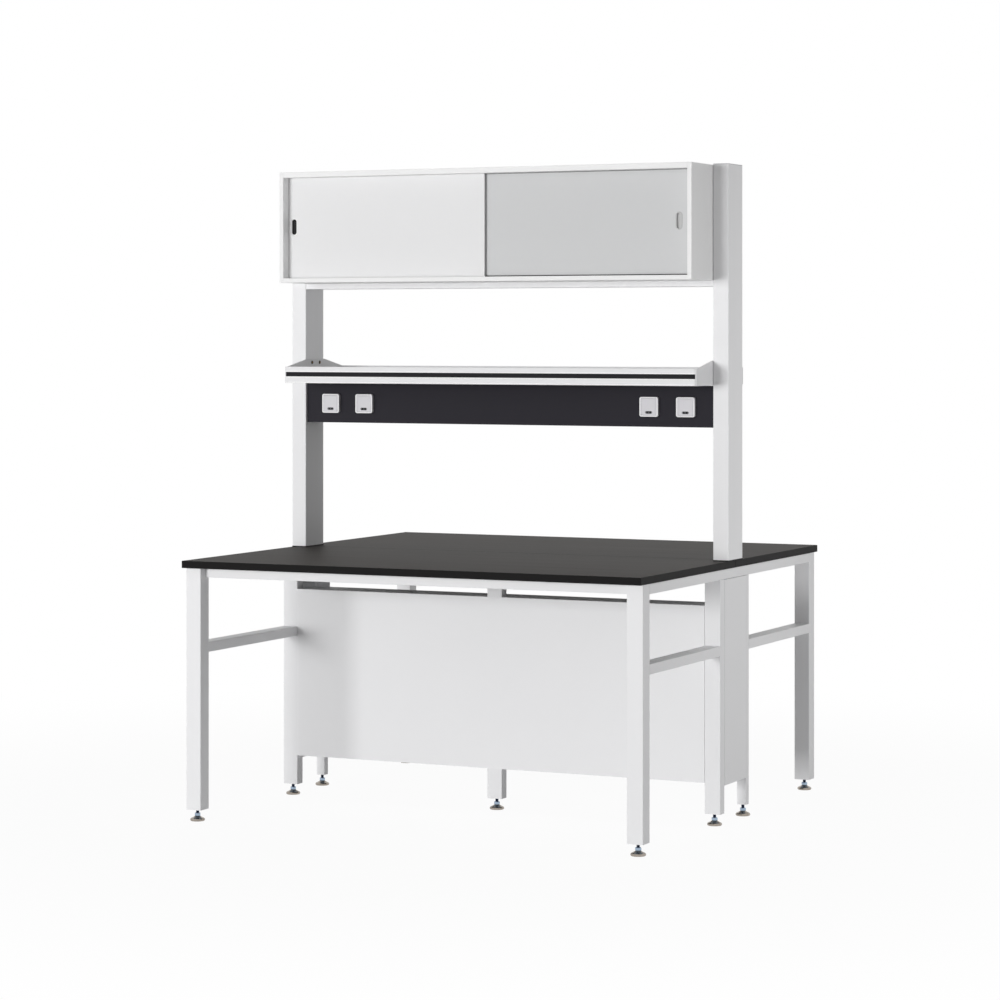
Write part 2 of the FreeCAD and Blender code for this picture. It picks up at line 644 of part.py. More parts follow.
def make_posts():
    """Two rectangular tubes with caps, each bolted through the worktops to the side rails."""
    caps = []
    gaskets = []
    plates = []
    bolts = []
    for side, sign in sides():
        low_x = low_edge(sign, POST_INNER, "post_width")
        post = new_body("post_" + side, (low_x, "-post_depth / 2", POST_LOW))
        section = sketch_on(post, "XY_Plane")
        rectangle(section, "0", "0", "post_width", "post_depth")
        height = "(total_height - cap_thickness - %s)" % POST_LOW
        blank = pad(post, section, height)
        soften(post, blank, straight_edges(blank, 2, at_corner(blank, 2)), "post_corner")
        bore = sketch_on(post, "XY_Plane")
        rectangle(bore, "post_wall", "post_wall", "post_width - post_wall",
                  "post_depth - post_wall")
        pocket(post, bore, height, backwards=True)
        drill_post(post, sign)
        sub_part(post)
        caps.append(make_post_cap(side, low_x))
        gaskets.append(make_bolted_plate(
            "post_gasket_" + side, (low_x, "-post_depth / 2", "bench_height"),
            "post_width", "post_depth", "gasket", "bolt_radius + bolt_hole_gap"))
        inset = "(post_wall + base_plate_gap)"
        plates.append(make_bolted_plate(
            "post_base_plate_" + side,
            ("%s + %s" % (low_x, inset), "%s - post_depth / 2" % inset, POST_LOW),
            "post_width - 2 * %s" % inset, "post_depth - 2 * %s" % inset, "base_plate",
            "bolt_radius + bolt_thread_gap"))
        for sense in ("-", ""):
            bolts.append(make_post_bolt(side, sense, "%s + post_width / 2" % low_x))
    group("post_caps", caps)
    group("post_gaskets", gaskets)
    group("post_base_plates", plates)
    group("post_bolts", bolts)


def make_post_cap(side, low_x):
    """Pressed-in cap: a plate as wide as the post and a hollow skirt inside it."""
    cap = new_body("post_cap_" + side, (low_x, "-post_depth / 2", "total_height - cap_thickness"))
    section = sketch_on(cap, "XY_Plane")
    rectangle(section, "0", "0", "post_width", "post_depth")
    plate = pad(cap, section, "cap_thickness")
    rounded = soften(cap, plate, straight_edges(plate, 2, at_corner(plate, 2)), "post_corner")
    face = max(rounded.Shape.Faces, key=lambda part: part.CenterOfMass.z)
    soften(cap, rounded, edges_of(rounded, face), "cap_edge_break", "PartDesign::Chamfer")
    skirt = sketch_on(cap, "XY_Plane")
    for inset in ("(post_wall + cap_fit)", "(post_wall + cap_fit + cap_wall)"):
        rectangle(skirt, inset, inset, "post_width - " + inset, "post_depth - " + inset)
    pad(cap, skirt, "cap_skirt", backwards=True)
    return cap


def drill_post(post, sign):
    """Holes for the shelf bracket's screws in the post's inner wall."""
    holes = sketch_on(post, "YZ_Plane", "post_width" if sign < 0 else None)
    for sense in ("-", "+"):
        circle(holes, "post_depth / 2 %s screw_apart / 2" % sense,
               "%s + bracket_rise - screw_below_edge - %s" % (SHELF_TOP, POST_LOW),
               "screw_radius + screw_gap")
    pocket(post, holes, "post_wall", backwards=(sign > 0))


def make_bolted_plate(label, corner, width, depth, height, hole):
    """A plate with the post's two bolt holes."""
    plate = new_body(label, corner)
    sketch = sketch_on(plate, "XY_Plane")
    rectangle(sketch, "0", "0", width, depth)
    for sense in ("-", "+"):
        circle(sketch, "(%s) / 2" % width, "(%s) / 2 %s bolt_from_middle" % (depth, sense), hole)
    pad(plate, sketch, height)
    return plate


def make_post_bolt(side, sense, middle_x):
    """Flange bolt from under the side rail into the post's base plate."""
    bolt = new_body("post_bolt_%s_%s" % (side, "front" if sense else "rear"),
                    (middle_x, sense + "bolt_from_middle", RAIL_LOW))
    profile = sketch_on(bolt, "XZ_Plane")
    tip = "rail_height + top_thickness + gasket + base_plate"
    outline(profile, [
        ("0", "-bolt_head_height"), ("bolt_head_radius", "-bolt_head_height"),
        ("bolt_head_radius", "0"), ("bolt_radius", "0"), ("bolt_radius", tip), ("0", tip),
    ])
    turned = bolt.newObject("PartDesign::Revolution", bolt.Label + "_turned")
    turned.Profile = profile
    turned.ReferenceAxis = (profile, ["V_Axis"])
    DOC.recompute()
    return bolt


# --- Power duct and sockets -------------------------------------------------------------

def socket_places():
    """Number and centre X of each socket, from left to right."""
    far = "(%s - socket_end)" % POST_INNER
    near = "(%s - socket_end - socket_pitch)" % POST_INNER
    return list(enumerate(("-" + far, "-" + near, near, far), start=1))


def make_power_duct():
    """Open channel between the posts, closed by a cover strip with four cut-outs."""
    duct = new_body("power_housing", ("-" + POST_INNER, "-(duct_front - fascia)", "duct_low"))
    channel = sketch_on(duct, "YZ_Plane")
    depth = "(2 * duct_front - fascia)"
    outline(channel, [
        ("0", "0"), (depth, "0"), (depth, "duct_height"), ("0", "duct_height"),
        ("0", "duct_height - duct_wall"), (depth + " - duct_wall", "duct_height - duct_wall"),
        (depth + " - duct_wall", "duct_wall"), ("0", "duct_wall"),
    ])
    pad(duct, channel, DUCT_WIDTH)
    sub_part(duct)
    strip = new_body("power_fascia", ("0", "-duct_front", "duct_low"))
    face = sketch_on(strip, "XZ_Plane")
    rectangle(face, "-" + POST_INNER, "0", POST_INNER, "duct_height")
    middle = "socket_height - duct_low"
    half = "(socket_body / 2 + socket_body_gap)"
    for _, centre in socket_places():
        rectangle(face, "%s - %s" % (centre, half), "%s - %s" % (middle, half),
                  "%s + %s" % (centre, half), "%s + %s" % (middle, half))
    pad(strip, face, "fascia", backwards=True)
    sub_part(strip)


def make_sockets():
    frames = []
    for number, centre in socket_places():
        frames.append(make_socket_frame(number, centre))
        make_socket_lid(number, centre)
    group("socket_frames", frames)


def make_socket_frame(number, centre):
    """Rounded square frame with a stepped well and a hinge pin across its upper edge."""
    frame = new_body("socket_frame_%d" % number, (centre, "-duct_front", "socket_height"))
    square = sketch_on(frame, "XZ_Plane")
    half = "socket_size / 2"
    rectangle(square, "-" + half, "-" + half, half, half)
    front = pad(frame, square, "socket_proud")
    corners = straight_edges(front, 1, at_corner(front, 1))
    rounded = soften(frame, front, corners, "socket_corner")
    face = min(rounded.Shape.Faces, key=lambda part: part.CenterOfMass.y)
    soften(frame, rounded, edges_of(rounded, face), "socket_rim_round")
    back = sketch_on(frame, "XZ_Plane")
    rectangle(back, "-socket_body / 2", "-socket_body / 2", "socket_body / 2", "socket_body / 2")
    pad(frame, back, "socket_body_depth", backwards=True)
    seat = sketch_on(frame, "XZ_Plane", "socket_proud")
    across = "(lid_width / 2 + lid_gap)"
    upright = "(lid_height / 2 + lid_gap)"
    rectangle(seat, "-" + across, "-" + upright, across, upright)
    pocket(frame, seat, LID_RECESS)
    well = sketch_on(frame, "XZ_Plane", "socket_proud - " + LID_RECESS)
    half = "socket_well / 2"
    rectangle(well, "-" + half, "-" + half, half, half)
    deep = pocket(frame, well, "socket_well_depth")
    inner = SHEET.get("socket_well") / 2
    in_well = straight_edges(deep, 1, lambda edge: (
        abs(abs(edge.CenterOfMass.x) - inner) < ON_LINE
        and abs(abs(edge.CenterOfMass.z) - inner) < ON_LINE))
    soften(frame, deep, in_well, "socket_well_corner")
    contacts = sketch_on(frame, "XZ_Plane", "socket_proud - %s - socket_well_depth" % LID_RECESS)
    for sense in ("-", ""):
        circle(contacts, sense + "contact_apart / 2", "0", "contact_radius")
    pocket(frame, contacts, "contact_depth")
    pin = sketch_on(frame, "YZ_Plane")
    circle(pin, "lid_barrel - socket_proud", "lid_height / 2 - lid_barrel", "pin_radius")
    pad(frame, pin, "lid_width + 4 * lid_gap", midplane=True)
    return frame


def make_socket_lid(number, centre):
    """Flap with a hinge barrel along its upper edge and a finger notch near its lower one."""
    lid = new_body(
        "socket_lid_%d" % number,
        (centre, "lid_barrel - " + SOCKET_FRONT, "socket_height + lid_height / 2 - lid_barrel"),
    )
    flap = sketch_on(lid, "YZ_Plane")
    rectangle(flap, "-lid_barrel", "lid_barrel - lid_height", "lid_thickness - lid_barrel", "0")
    sheet = pad(lid, flap, "lid_width", midplane=True)
    low = sheet.Shape.BoundBox.ZMin
    corners = straight_edges(sheet, 1, lambda edge: abs(edge.CenterOfMass.z - low) < ON_LINE)
    soften(lid, sheet, corners, "lid_corner")
    barrel = sketch_on(lid, "YZ_Plane")
    circle(barrel, "0", "0", "lid_barrel")
    pad(lid, barrel, "lid_width", midplane=True)
    bore = sketch_on(lid, "YZ_Plane")
    circle(bore, "0", "0", "pin_radius + pin_gap")
    pocket(lid, bore, "lid_width", midplane=True)
    notch = sketch_on(lid, "XZ_Plane", "lid_barrel")
    pill(notch, "0", "(lid_grip_low + lid_barrel - lid_height)", "lid_grip_height / 2",
         "lid_grip_width / 2", lying=True)
    pocket(lid, notch, "lid_grip_depth")
    sub_part(lid)


# --- Reagent shelf ----------------------------------------------------------------------

def make_shelf():
    """Two grooved edge profiles with a board between them, held by a bracket at each end."""
    make_shelf_rails()
    width = "2 * " + SHELF_END
    inner = "(shelf_depth / 2 - shelf_lip - shelf_board_gap)"
    sub_part(board(
        "shelf_board", ("%s - 2 * shelf_board_gap" % width, "2 * " + inner,
                        "shelf_board_thickness"),
        ("shelf_board_gap - " + SHELF_END, "-" + inner, "shelf_low + shelf_board_seat"),
        "cabinet_edge_break", axes=(0,)))
    screws = []
    for side, sign in sides():
        make_bracket(side, sign)
        for name, sense in (("front", "-"), ("rear", "")):
            screws.append(make_bracket_screw(side, sign, name, sense))
    group("bracket_screws", screws)


def make_shelf_rails():
    """The extruded edge: lip, ledge for the board, hollow chamber and face groove."""
    strips = []
    for name, turn in (("front", None), ("rear", Rotation(Vector(0, 0, 1), 180))):
        start = "-" if turn is None else ""
        corner = (start + SHELF_END, start + "shelf_depth / 2", "shelf_low")
        rail = new_body("shelf_rail_" + name, corner, turn)
        section = sketch_on(rail, "YZ_Plane")
        groove_top = "groove_low + groove_height"
        outline(section, [
            ("0", "0"), ("shelf_rail_depth", "0"), ("shelf_rail_depth", "shelf_board_seat"),
            ("shelf_lip", "shelf_board_seat"), ("shelf_lip", "shelf_rail_height"),
            ("0", "shelf_rail_height"), ("0", groove_top), ("groove_depth", groove_top),
            ("groove_depth", "groove_low"), ("0", "groove_low"),
        ])
        rectangle(section, "groove_depth + chamber_wall", "chamber_wall",
                  "shelf_rail_depth - chamber_wall", "shelf_board_seat - chamber_wall")
        profile = pad(rail, section, "2 * " + SHELF_END)
        edges = straight_edges(profile, 0, at_corner(profile, 0))
        soften(rail, profile, edges, "cabinet_edge_break")
        sub_part(rail)
        strip = new_body("shelf_strip_" + name, corner, turn)
        ribbon = sketch_on(strip, "YZ_Plane")
        rectangle(ribbon, "groove_depth - strip_depth", "groove_low", "groove_depth", groove_top)
        pad(strip, ribbon, "2 * " + SHELF_END)
        strips.append(strip)
    group("shelf_strips", strips)


def make_bracket(side, sign):
    """Plate on the post's inner face, highest at the post and sloping to both shelf edges."""
    low_x = SHELF_END if sign > 0 else "-" + POST_INNER
    bracket = new_body("shelf_bracket_" + side, (low_x, "0", "shelf_low"))
    plate = sketch_on(bracket, "YZ_Plane")
    toe = "(shelf_depth / 2 - bracket_toe)"
    slope_end = "(shelf_depth / 2 - bracket_slope_end)"
    peak = "shelf_rail_height + bracket_rise"
    outline(plate, [
        ("-" + toe, "0"), (toe, "0"), (toe, "shelf_rail_height"),
        (slope_end, "shelf_rail_height"), ("post_depth / 2", peak), ("-post_depth / 2", peak),
        ("-" + slope_end, "shelf_rail_height"), ("-" + toe, "shelf_rail_height"),
    ])
    for sense in ("-", ""):
        circle(plate, sense + "screw_apart / 2", "%s - screw_below_edge" % peak,
               "screw_radius + screw_gap")
    blank = pad(bracket, plate, "bracket_plate")
    top = blank.Shape.BoundBox.ZMax
    peaks = straight_edges(blank, 0, lambda edge: abs(edge.CenterOfMass.z - top) < ON_LINE)
    soften(bracket, blank, peaks, "bracket_corner")
    sub_part(bracket)


def make_bracket_screw(side, sign, name, sense):
    """Pan-head screw through a bracket into the post's wall."""
    turn = Rotation(Vector(0, 1, 0), 90 * sign)
    screw = new_body(
        "bracket_screw_%s_%s" % (side, name),
        (SHELF_END if sign > 0 else "-" + SHELF_END, sense + "screw_apart / 2",
         "%s + bracket_rise - screw_below_edge" % SHELF_TOP), turn)
    profile = sketch_on(screw, "XZ_Plane")
    tip = "bracket_plate + post_wall"
    outline(profile, [
        ("0", "-screw_head_height"), ("screw_head_flat", "-screw_head_height"),
        ("screw_head_radius", "-screw_head_edge"), ("screw_head_radius", "0"),
        ("screw_radius", "0"), ("screw_radius", tip), ("0", tip),
    ])
    turned = screw.newObject("PartDesign::Revolution", screw.Label + "_turned")
    turned.Profile = profile
    turned.ReferenceAxis = (profile, ["V_Axis"])
    DOC.recompute()
    return screw


# --- Cabinet ----------------------------------------------------------------------------

def make_cabinet():
    """Case of five boards on a cross beam between the posts."""
    sub_part(tube("cross_beam", "x", "post_depth - 2 * beam_inset", "beam_height", DUCT_WIDTH,
                  ("-" + POST_INNER, "beam_inset - post_depth / 2",
                   CABINET_LOW + " - beam_height")))
    depth = "(cabinet_front + post_depth / 2)"
    for side, sign in sides():
        sub_part(board(
            "cabinet_side_" + side, ("cabinet_side", depth, "cabinet_height"),
            (low_edge(sign, OPENING_SIDE, "cabinet_side"), "-cabinet_front", CABINET_LOW),
            "cabinet_edge_break"))
    for name, low_z, thickness, track in (
        ("bottom", CABINET_LOW, "cabinet_bottom_board", "lower_track"),
        ("top", OPENING_HIGH, "cabinet_top_board", "upper_track"),
    ):
        shelf = board("cabinet_" + name, (OPENING_WIDTH, depth, thickness),
                      ("-" + OPENING_SIDE, "-cabinet_front", low_z), "cabinet_edge_break")
        recess = sketch_on(shelf, "XY_Plane", thickness if name == "bottom" else None)
        front = "(cabinet_front - %s - track_fit)" % TRACK_FRONT
        rectangle(recess, "0", front, OPENING_WIDTH,
                  "%s + %s + 2 * track_fit" % (front, TRACK_DEPTH))
        pocket(shelf, recess, track, backwards=(name == "top"))
        sub_part(shelf)
    sub_part(board(
        "cabinet_back",
        (OPENING_WIDTH, "cabinet_rear_board", "%s - %s" % (OPENING_HIGH, OPENING_LOW)),
        ("-" + OPENING_SIDE, "post_depth / 2 - cabinet_rear_board", OPENING_LOW),
        "cabinet_edge_break"))
    make_tracks()


def make_tracks():
    """Twin-groove profiles let in flush: one in the bottom board, one in the top board.

    The lower grooves are narrow and take the doors' tongues. The upper ones take the doors'
    whole thickness, and are deep enough to lift a door out.
    """
    depth = TRACK_DEPTH
    wide = "(door_thickness + 2 * track_gap)"
    narrow = "(door_thickness - door_rebate_depth + 2 * track_gap)"
    tracks = []
    for name, tall, groove, first, turn, corner in (
        ("lower", "lower_track", narrow, "(track_fin + door_rebate_depth)", None,
         ("-" + OPENING_SIDE, "-" + TRACK_FRONT, OPENING_LOW + " - lower_track")),
        ("upper", "upper_track", wide, "track_fin", Rotation(Vector(0, 1, 0), 180),
         (OPENING_SIDE, "-" + TRACK_FRONT, OPENING_HIGH + " + upper_track")),
    ):
        track = new_body("door_track_" + name, corner, turn)
        section = sketch_on(track, "YZ_Plane")
        second = "(%s + door_spacing)" % first
        outline(section, [
            ("0", "0"), (depth, "0"), (depth, tall), ("%s + %s" % (second, groove), tall),
            ("%s + %s" % (second, groove), "track_floor"), (second, "track_floor"),
            (second, tall), ("%s + %s" % (first, groove), tall),
            ("%s + %s" % (first, groove), "track_floor"), (first, "track_floor"),
            (first, tall), ("0", tall),
        ])
        pad(track, section, OPENING_WIDTH)
        tracks.append(track)
    group("door_tracks", tracks)


def make_doors():
    """Two folded-sheet doors, each with a tongue below and a pill-shaped cup let into it."""
    for side, low_x, face, pull_x in (
        ("left", "door_jamb_gap - " + OPENING_SIDE, FRONT_DOOR_FACE, "left_pull_inset"),
        ("right", "%s - door_jamb_gap - %s" % (OPENING_SIDE, DOOR_WIDTH), REAR_DOOR_FACE,
         DOOR_WIDTH + " - right_pull_inset"),
    ):
        door = new_body("door_" + side, (low_x, "-" + face, DOOR_LOW))
        blank = sketch_on(door, "XZ_Plane")
        rectangle(blank, "0", "0", DOOR_WIDTH, DOOR_HEIGHT)
        panel = pad(door, blank, "door_thickness", backwards=True)
        uprights = straight_edges(panel, 2, at_corner(panel, 2))
        soften(door, panel, uprights, "door_corner")
        hollow = sketch_on(door, "XZ_Plane", "-door_sheet")
        rectangle(hollow, "door_fold", "door_fold", DOOR_WIDTH + " - door_fold",
                  DOOR_HEIGHT + " - door_fold")
        pocket(door, hollow, "door_thickness - door_sheet")
        rebate = sketch_on(door, "XZ_Plane")
        rectangle(rebate, "0", "0", DOOR_WIDTH, "door_rebate")
        pocket(door, rebate, "door_rebate_depth")
        half_x = "(pull_width / 2 - pull_rim)"
        half_z = "(pull_height / 2 - pull_rim)"
        cut = sketch_on(door, "XZ_Plane")
        pill(cut, pull_x, PULL_RISE, half_x, half_z)
        pocket(door, cut, "door_thickness")
        sub_part(door)
        make_pull(side, "%s + %s" % (low_x, pull_x), face)


def make_pull(side, middle_x, face):
    """Flush cup pull: a flat rim and a pill-shaped cup through the door."""
    pull = new_body("door_pull_" + side,
                    (middle_x, "-" + face, "%s + %s" % (DOOR_LOW, PULL_RISE)))
    rim = sketch_on(pull, "XZ_Plane")
    pill(rim, "0", "0", "pull_width / 2", "pull_height / 2")
    pad(pull, rim, "pull_flange")
    cup = sketch_on(pull, "XZ_Plane")
    inset = "(pull_rim + pull_fit)"
    pill(cup, "0", "0", "(pull_width / 2 - %s)" % inset, "(pull_height / 2 - %s)" % inset)
    pad(pull, cup, "pull_depth", backwards=True)
    hollow = sketch_on(pull, "XZ_Plane", "pull_flange")
    inset = "(pull_rim + pull_fit + pull_wall)"
    pill(hollow, "0", "0", "(pull_width / 2 - %s)" % inset, "(pull_height / 2 - %s)" % inset)
    pocket(pull, hollow, "pull_depth + pull_flange - pull_wall")
    sub_part(pull)


def check_document():
    """Stop if any object failed, or any sub-part isn't a sound solid."""
    DOC.recompute()
    for item in DOC.Objects:
        if "Invalid" in item.State or "Error" in item.State:
            raise RuntimeError("%s failed: %s" % (item.Label, item.State))
    for item in PARTS:
        shape = item.Shape
        if shape.isNull() or not shape.isValid() or not shape.Solids:
            raise RuntimeError(item.Label + " isn't a sound solid")


def write_parts():
    os.makedirs("parts", exist_ok=True)
    for item in PARTS:
        item.Shape.exportStep("parts/%s.step" % item.Label)
        print("%-22s %2d solids  %9.1f cm3" % (
            item.Label, len(item.Shape.Solids), item.Shape.Volume / 1000))


make_sheet()
make_worktops()
make_legs()
make_rails()
make_end_panels()
make_modesty_panel()
make_posts()
make_power_duct()
make_sockets()
make_shelf()
make_cabinet()
make_doors()
check_document()
write_parts()
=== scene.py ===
"""Looks of the island laboratory bench: finishes, levelling feet, screws, pulls, sockets, stage."""
import json
import math

import bmesh
import bpy
from bpy.props import FloatProperty, FloatVectorProperty, IntProperty, PointerProperty
from mathutils import Matrix, Vector


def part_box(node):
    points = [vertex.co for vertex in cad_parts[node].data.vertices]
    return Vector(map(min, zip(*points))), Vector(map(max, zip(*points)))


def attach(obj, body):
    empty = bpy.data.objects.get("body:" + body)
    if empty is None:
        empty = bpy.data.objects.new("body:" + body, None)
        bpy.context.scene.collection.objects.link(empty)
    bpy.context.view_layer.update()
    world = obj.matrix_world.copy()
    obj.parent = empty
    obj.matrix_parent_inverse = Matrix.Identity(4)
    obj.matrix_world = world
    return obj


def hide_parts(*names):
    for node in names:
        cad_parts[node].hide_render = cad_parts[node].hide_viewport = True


bl_info = {
    "name": "Island laboratory bench",
    "version": (1, 0, 0),
    "blender": (4, 5, 0),
    "location": "3D View > Sidebar > Lab bench",
    "description": "Finishes and fine pieces of a laboratory bench with a reagent shelf",
    "category": "Object",
}

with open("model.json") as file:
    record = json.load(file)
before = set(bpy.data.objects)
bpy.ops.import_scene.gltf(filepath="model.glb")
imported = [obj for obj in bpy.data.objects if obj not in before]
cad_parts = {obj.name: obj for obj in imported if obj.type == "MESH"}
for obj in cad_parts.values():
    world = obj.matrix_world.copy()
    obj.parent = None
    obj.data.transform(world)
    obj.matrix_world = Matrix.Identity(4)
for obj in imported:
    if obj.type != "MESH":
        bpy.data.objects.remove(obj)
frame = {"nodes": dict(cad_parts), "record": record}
NODES = frame["nodes"]
BODY_OF = {
    node: body
    for body, members in frame["record"]["behaviour"]["bodies"].items()
    for node in members
}
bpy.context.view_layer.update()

MM = 0.001
# Places that are nearer to each other than this are one.
NEAR = 1e-6
FULL_TURN = 2 * math.pi
Z_AXIS = Vector((0, 0, 1))
# Faces round small turned pieces and pill shapes, and round the screws' cores.
ROUND_STEPS = 32
CORE_STEPS = 24

# A levelling foot's sizes, as shares of its pad's radius.
PAD_NECK = 0.37
PAD_RIM = 0.4
PAD_SHOULDER = 0.8
PAD_TOP = 0.645
NUT_HALF_WIDTH = 0.378
NUT_TOP = 1.07
STUD_RADIUS = 0.2222

# The lowest bead's gap to the profile's edge, and the share of a bead's relief that is round.
BEAD_GAP = MM
BEAD_ROUND = 0.9

# A button head's outline, as shares of its radius and height, its recess's radii at the mouth
# and the floor, as shares too, and its core's outline: share of the radius, rise off the floor.
HEAD_DOME = ((1, 0), (0.97, 0.35), (0.8, 0.75), (0.5, 1))
RECESS_MOUTH = 0.46
RECESS_FLOOR = 0.42
CORE_CONE = ((0, 0.02 * MM), (0.4, 0.02 * MM), (0.38, 0.5 * MM), (0.15, 0.75 * MM), (0, 0.8 * MM))

# The rounded edge of a socket's frame, and the share of its bright rim's relief that is round.
FRAME_ROUND = 0.7 * MM
RIM_ROUND = 0.6

# A lid's finger notch, and half the width and length of the dark cup of painted shade in it and of
# the paler bar of lighter painted shade along its floor.
NOTCH_DEPTH = 1.0 * MM
NOTCH_RISE = 8.0 * MM
NOTCH_ROUND = 0.12 * MM
NOTCH_SHADE_HALF = (3.9 * MM, 11.6 * MM)
FLOOR_SHADE_HALF = (1.3 * MM, 2.8 * MM)

# A black track strip, painted shade in the gaps along the doors' lower and upper edges: gap at each
# end, share of the space between the doors, and rounded tip.
SHADE_BRUSH_GAP = MM
SHADE_BRUSH_SHARE = 0.4
SHADE_BRUSH_ROUND = 0.5 * MM

# Each coat's roughness, grain in cycles per metre, relief, cloudiness and specular level.
COATS = {
    "frame_coat": (0.42, 650.0, 0.1, 0.02, 0.5),
    "panel_coat": (0.46, 520.0, 0.08, 0.035, 0.5),
    "post_coat": (0.4, 600.0, 0.08, 0.02, 0.5),
    # the beam's coat is whiter than the posts', painted light against the cabinet's shadow on it
    "beam_coat": (0.4, 600.0, 0.08, 0.01, 0.5),
    "cap_plastic_grey": (0.4, 1200.0, 0.06, 0.02, 0.5),
    "gasket_rubber": (0.7, 1200.0, 0.2, 0.2, 0.3),
    "shelf_coat": (0.34, 900.0, 0.05, 0.015, 0.5),
    "shelf_board_face": (0.45, 500.0, 0.06, 0.03, 0.5),
    "groove_strip": (0.45, 1100.0, 0.1, 0.1, 0.2),
    "bracket_coat": (0.42, 650.0, 0.08, 0.02, 0.5),
    "dark_anodising": (0.5, 1400.0, 0.05, 0.04, 0.25),
    "silver_plastic": (0.32, 1500.0, 0.05, 0.02, 0.5),
    # painted shade in the lids' finger notches: a black cup, and a paler bar where the floor is
    # less shaded
    "lid_inlay": (0.45, 1500.0, 0.05, 0.1, 0.3),
    "lid_mark": (0.3, 1500.0, 0.05, 0.1, 0.5),
    "faced_board": (0.42, 800.0, 0.05, 0.02, 0.5),
    "track_coat": (0.35, 1000.0, 0.05, 0.03, 0.5),
    "door_coat_white": (0.38, 700.0, 0.06, 0.03, 0.5),
    "door_coat_grey": (0.3, 900.0, 0.04, 0.02, 0.5),
    # black strips on the door tracks, painted shade in the gaps along the doors' edges
    "track_brush_black": (0.8, 1800.0, 0.4, 0.2, 0.1),
    "pull_rim_grey": (0.35, 1200.0, 0.05, 0.02, 0.5),
    "cup_black": (0.4, 1200.0, 0.05, 0.1, 0.5),
    # the rear door's cup is a lighter grey than its rim, painted light against the shade in the cup
    "cup_grey": (0.4, 1200.0, 0.05, 0.02, 0.5),
}

# Each metal's roughness and tarnish.
METALS = {
    "plated_fixings": (0.35, 0.2),
    "pad_nickel": (0.22, 0.45),
    "zinc_blue": (0.3, 0.2),
    "stud_navy": (0.35, 0.3),
    "bead_polish": (0.26, 0.04),
    "screw_black": (0.4, 0.3),
    "screw_brass": (0.35, 0.3),
    "socket_rim": (0.26, 0.04),
    "pull_rim_bright": (0.3, 0.03),
}

# Each lamp's name, power setting, width, height, place and aim, in metres.
LIGHTS = (
    ("key_light", "key", 4.8, 3.2, (-3.3, -13.7, 1.65), (0, 0, 1.1)),
    ("side_light", "side", 0.4, 1.8, (2.9, 0.05, 1.05), (0.75, 0, 1.0)),
    ("back_light", "back", 4.8, 3.2, (-5.5, 12.0, 4.2), (0, 0, 1.1)),
)

# The floor's half size, and its glow, which grows to full between two distances in metres.
FLOOR_HALF = 30.0
GLOW_NEAR = 0.95
FADE_START = 1.2
FADE_END = 3.5


# --- Settings ---------------------------------------------------------------------------

def colour_setting(name, description, default):
    """A colour that a user can change in the sidebar."""
    return FloatVectorProperty(name=name, description=description, default=default,
                               subtype="COLOR", size=3, min=0, max=1)


def length_setting(name, description, default):
    """A length in metres that a user can change in the sidebar."""
    return FloatProperty(name=name, description=description, default=default,
                         subtype="DISTANCE", unit="LENGTH", min=0)


class BenchFinish(bpy.types.PropertyGroup):
    frame_white: colour_setting("Frame", "Powder coat of the legs and rails", (0.86, 0.86, 0.87))
    panel_white: colour_setting("Panels", "Powder coat of the folded panels", (0.89, 0.89, 0.9))
    post_white: colour_setting("Posts", "Powder coat of the posts", (0.91, 0.91, 0.92))
    # the beam's white is lighter than the posts', painted light against the cabinet's shadow on it
    beam_white_painted_light: colour_setting("Beam", "Coat of the beam under the cabinet", (0.95, 0.95, 0.96))
    cap_grey: colour_setting("Caps", "Plastic caps of the posts", (0.62, 0.62, 0.64))
    gasket_black: colour_setting("Gaskets", "Rubber below the posts", (0.012, 0.012, 0.012))
    bracket_grey: colour_setting("Brackets", "Coat of the shelf's brackets", (0.8, 0.8, 0.81))
    cabinet_white: colour_setting("Cabinet", "Faced boards of the cabinet", (0.92, 0.92, 0.92))
    door_white: colour_setting("Left door", "Coat of the front door", (0.83, 0.83, 0.835))
    door_grey: colour_setting("Right door", "Coat of the rear door", (0.63, 0.635, 0.64))
    worktop_dark: colour_setting("Worktop", "Body of the worktop laminate", (0.021, 0.019, 0.017))
    worktop_grain: colour_setting("Grain", "Light streaks of the laminate", (0.045, 0.039, 0.034))
    worktop_edge: colour_setting("Edge", "Sealed edges of the worktops", (0.0135, 0.013, 0.013))
    duct_dark: colour_setting("Duct", "Anodised power duct", (0.019, 0.0175, 0.0235))
    socket_silver: colour_setting("Sockets", "Socket frames and lids", (0.745, 0.735, 0.765))
    # the notches' black cups and paler bars are painted shade in the lids' finger notches
    inlay_black: colour_setting("Inlays", "Cups in the lids' notches", (0.012, 0.012, 0.015))
    mark_grey: colour_setting("Marks", "Bars in the lids' notches", (0.14, 0.135, 0.15))
    shelf_white: colour_setting("Shelf edge", "Coated shelf profiles", (0.86, 0.86, 0.87))
    bead_white: colour_setting("Beads", "Bright beads of the shelf profiles", (0.97, 0.97, 0.97))
    pull_white: colour_setting("Left pull", "Rim of the front door's pull", (0.97, 0.97, 0.97))
    pull_grey: colour_setting("Right pull", "Rim of the rear door's pull", (0.5, 0.5, 0.5))
    cup_black: colour_setting("Left cup", "Cup of the front door's pull", (0.008, 0.008, 0.009))
    # the rear door's cup is a lighter grey than its rim, painted light against the shade in the cup
    cup_grey: colour_setting("Right cup", "Cup of the rear door's pull", (0.56, 0.56, 0.56))
    # this black also colours the strips on the door tracks, which are painted shade
    strip_black: colour_setting("Strip", "Strips in the shelf's grooves", (0.012, 0.012, 0.014))
    nickel: colour_setting("Nickel", "Levelling pads", (0.46, 0.41, 0.36))
    zinc_blue: colour_setting("Zinc", "Hexagons of the feet", (0.4, 0.5, 0.62))
    stud_navy: colour_setting("Studs", "Threaded studs of the feet", (0.09, 0.11, 0.17))
    bronze: colour_setting("Screws", "Blackened heads of the bracket screws", (0.05, 0.04, 0.035))
    brass: colour_setting("Screw cores", "Sockets of the bracket screws", (0.5, 0.36, 0.18))


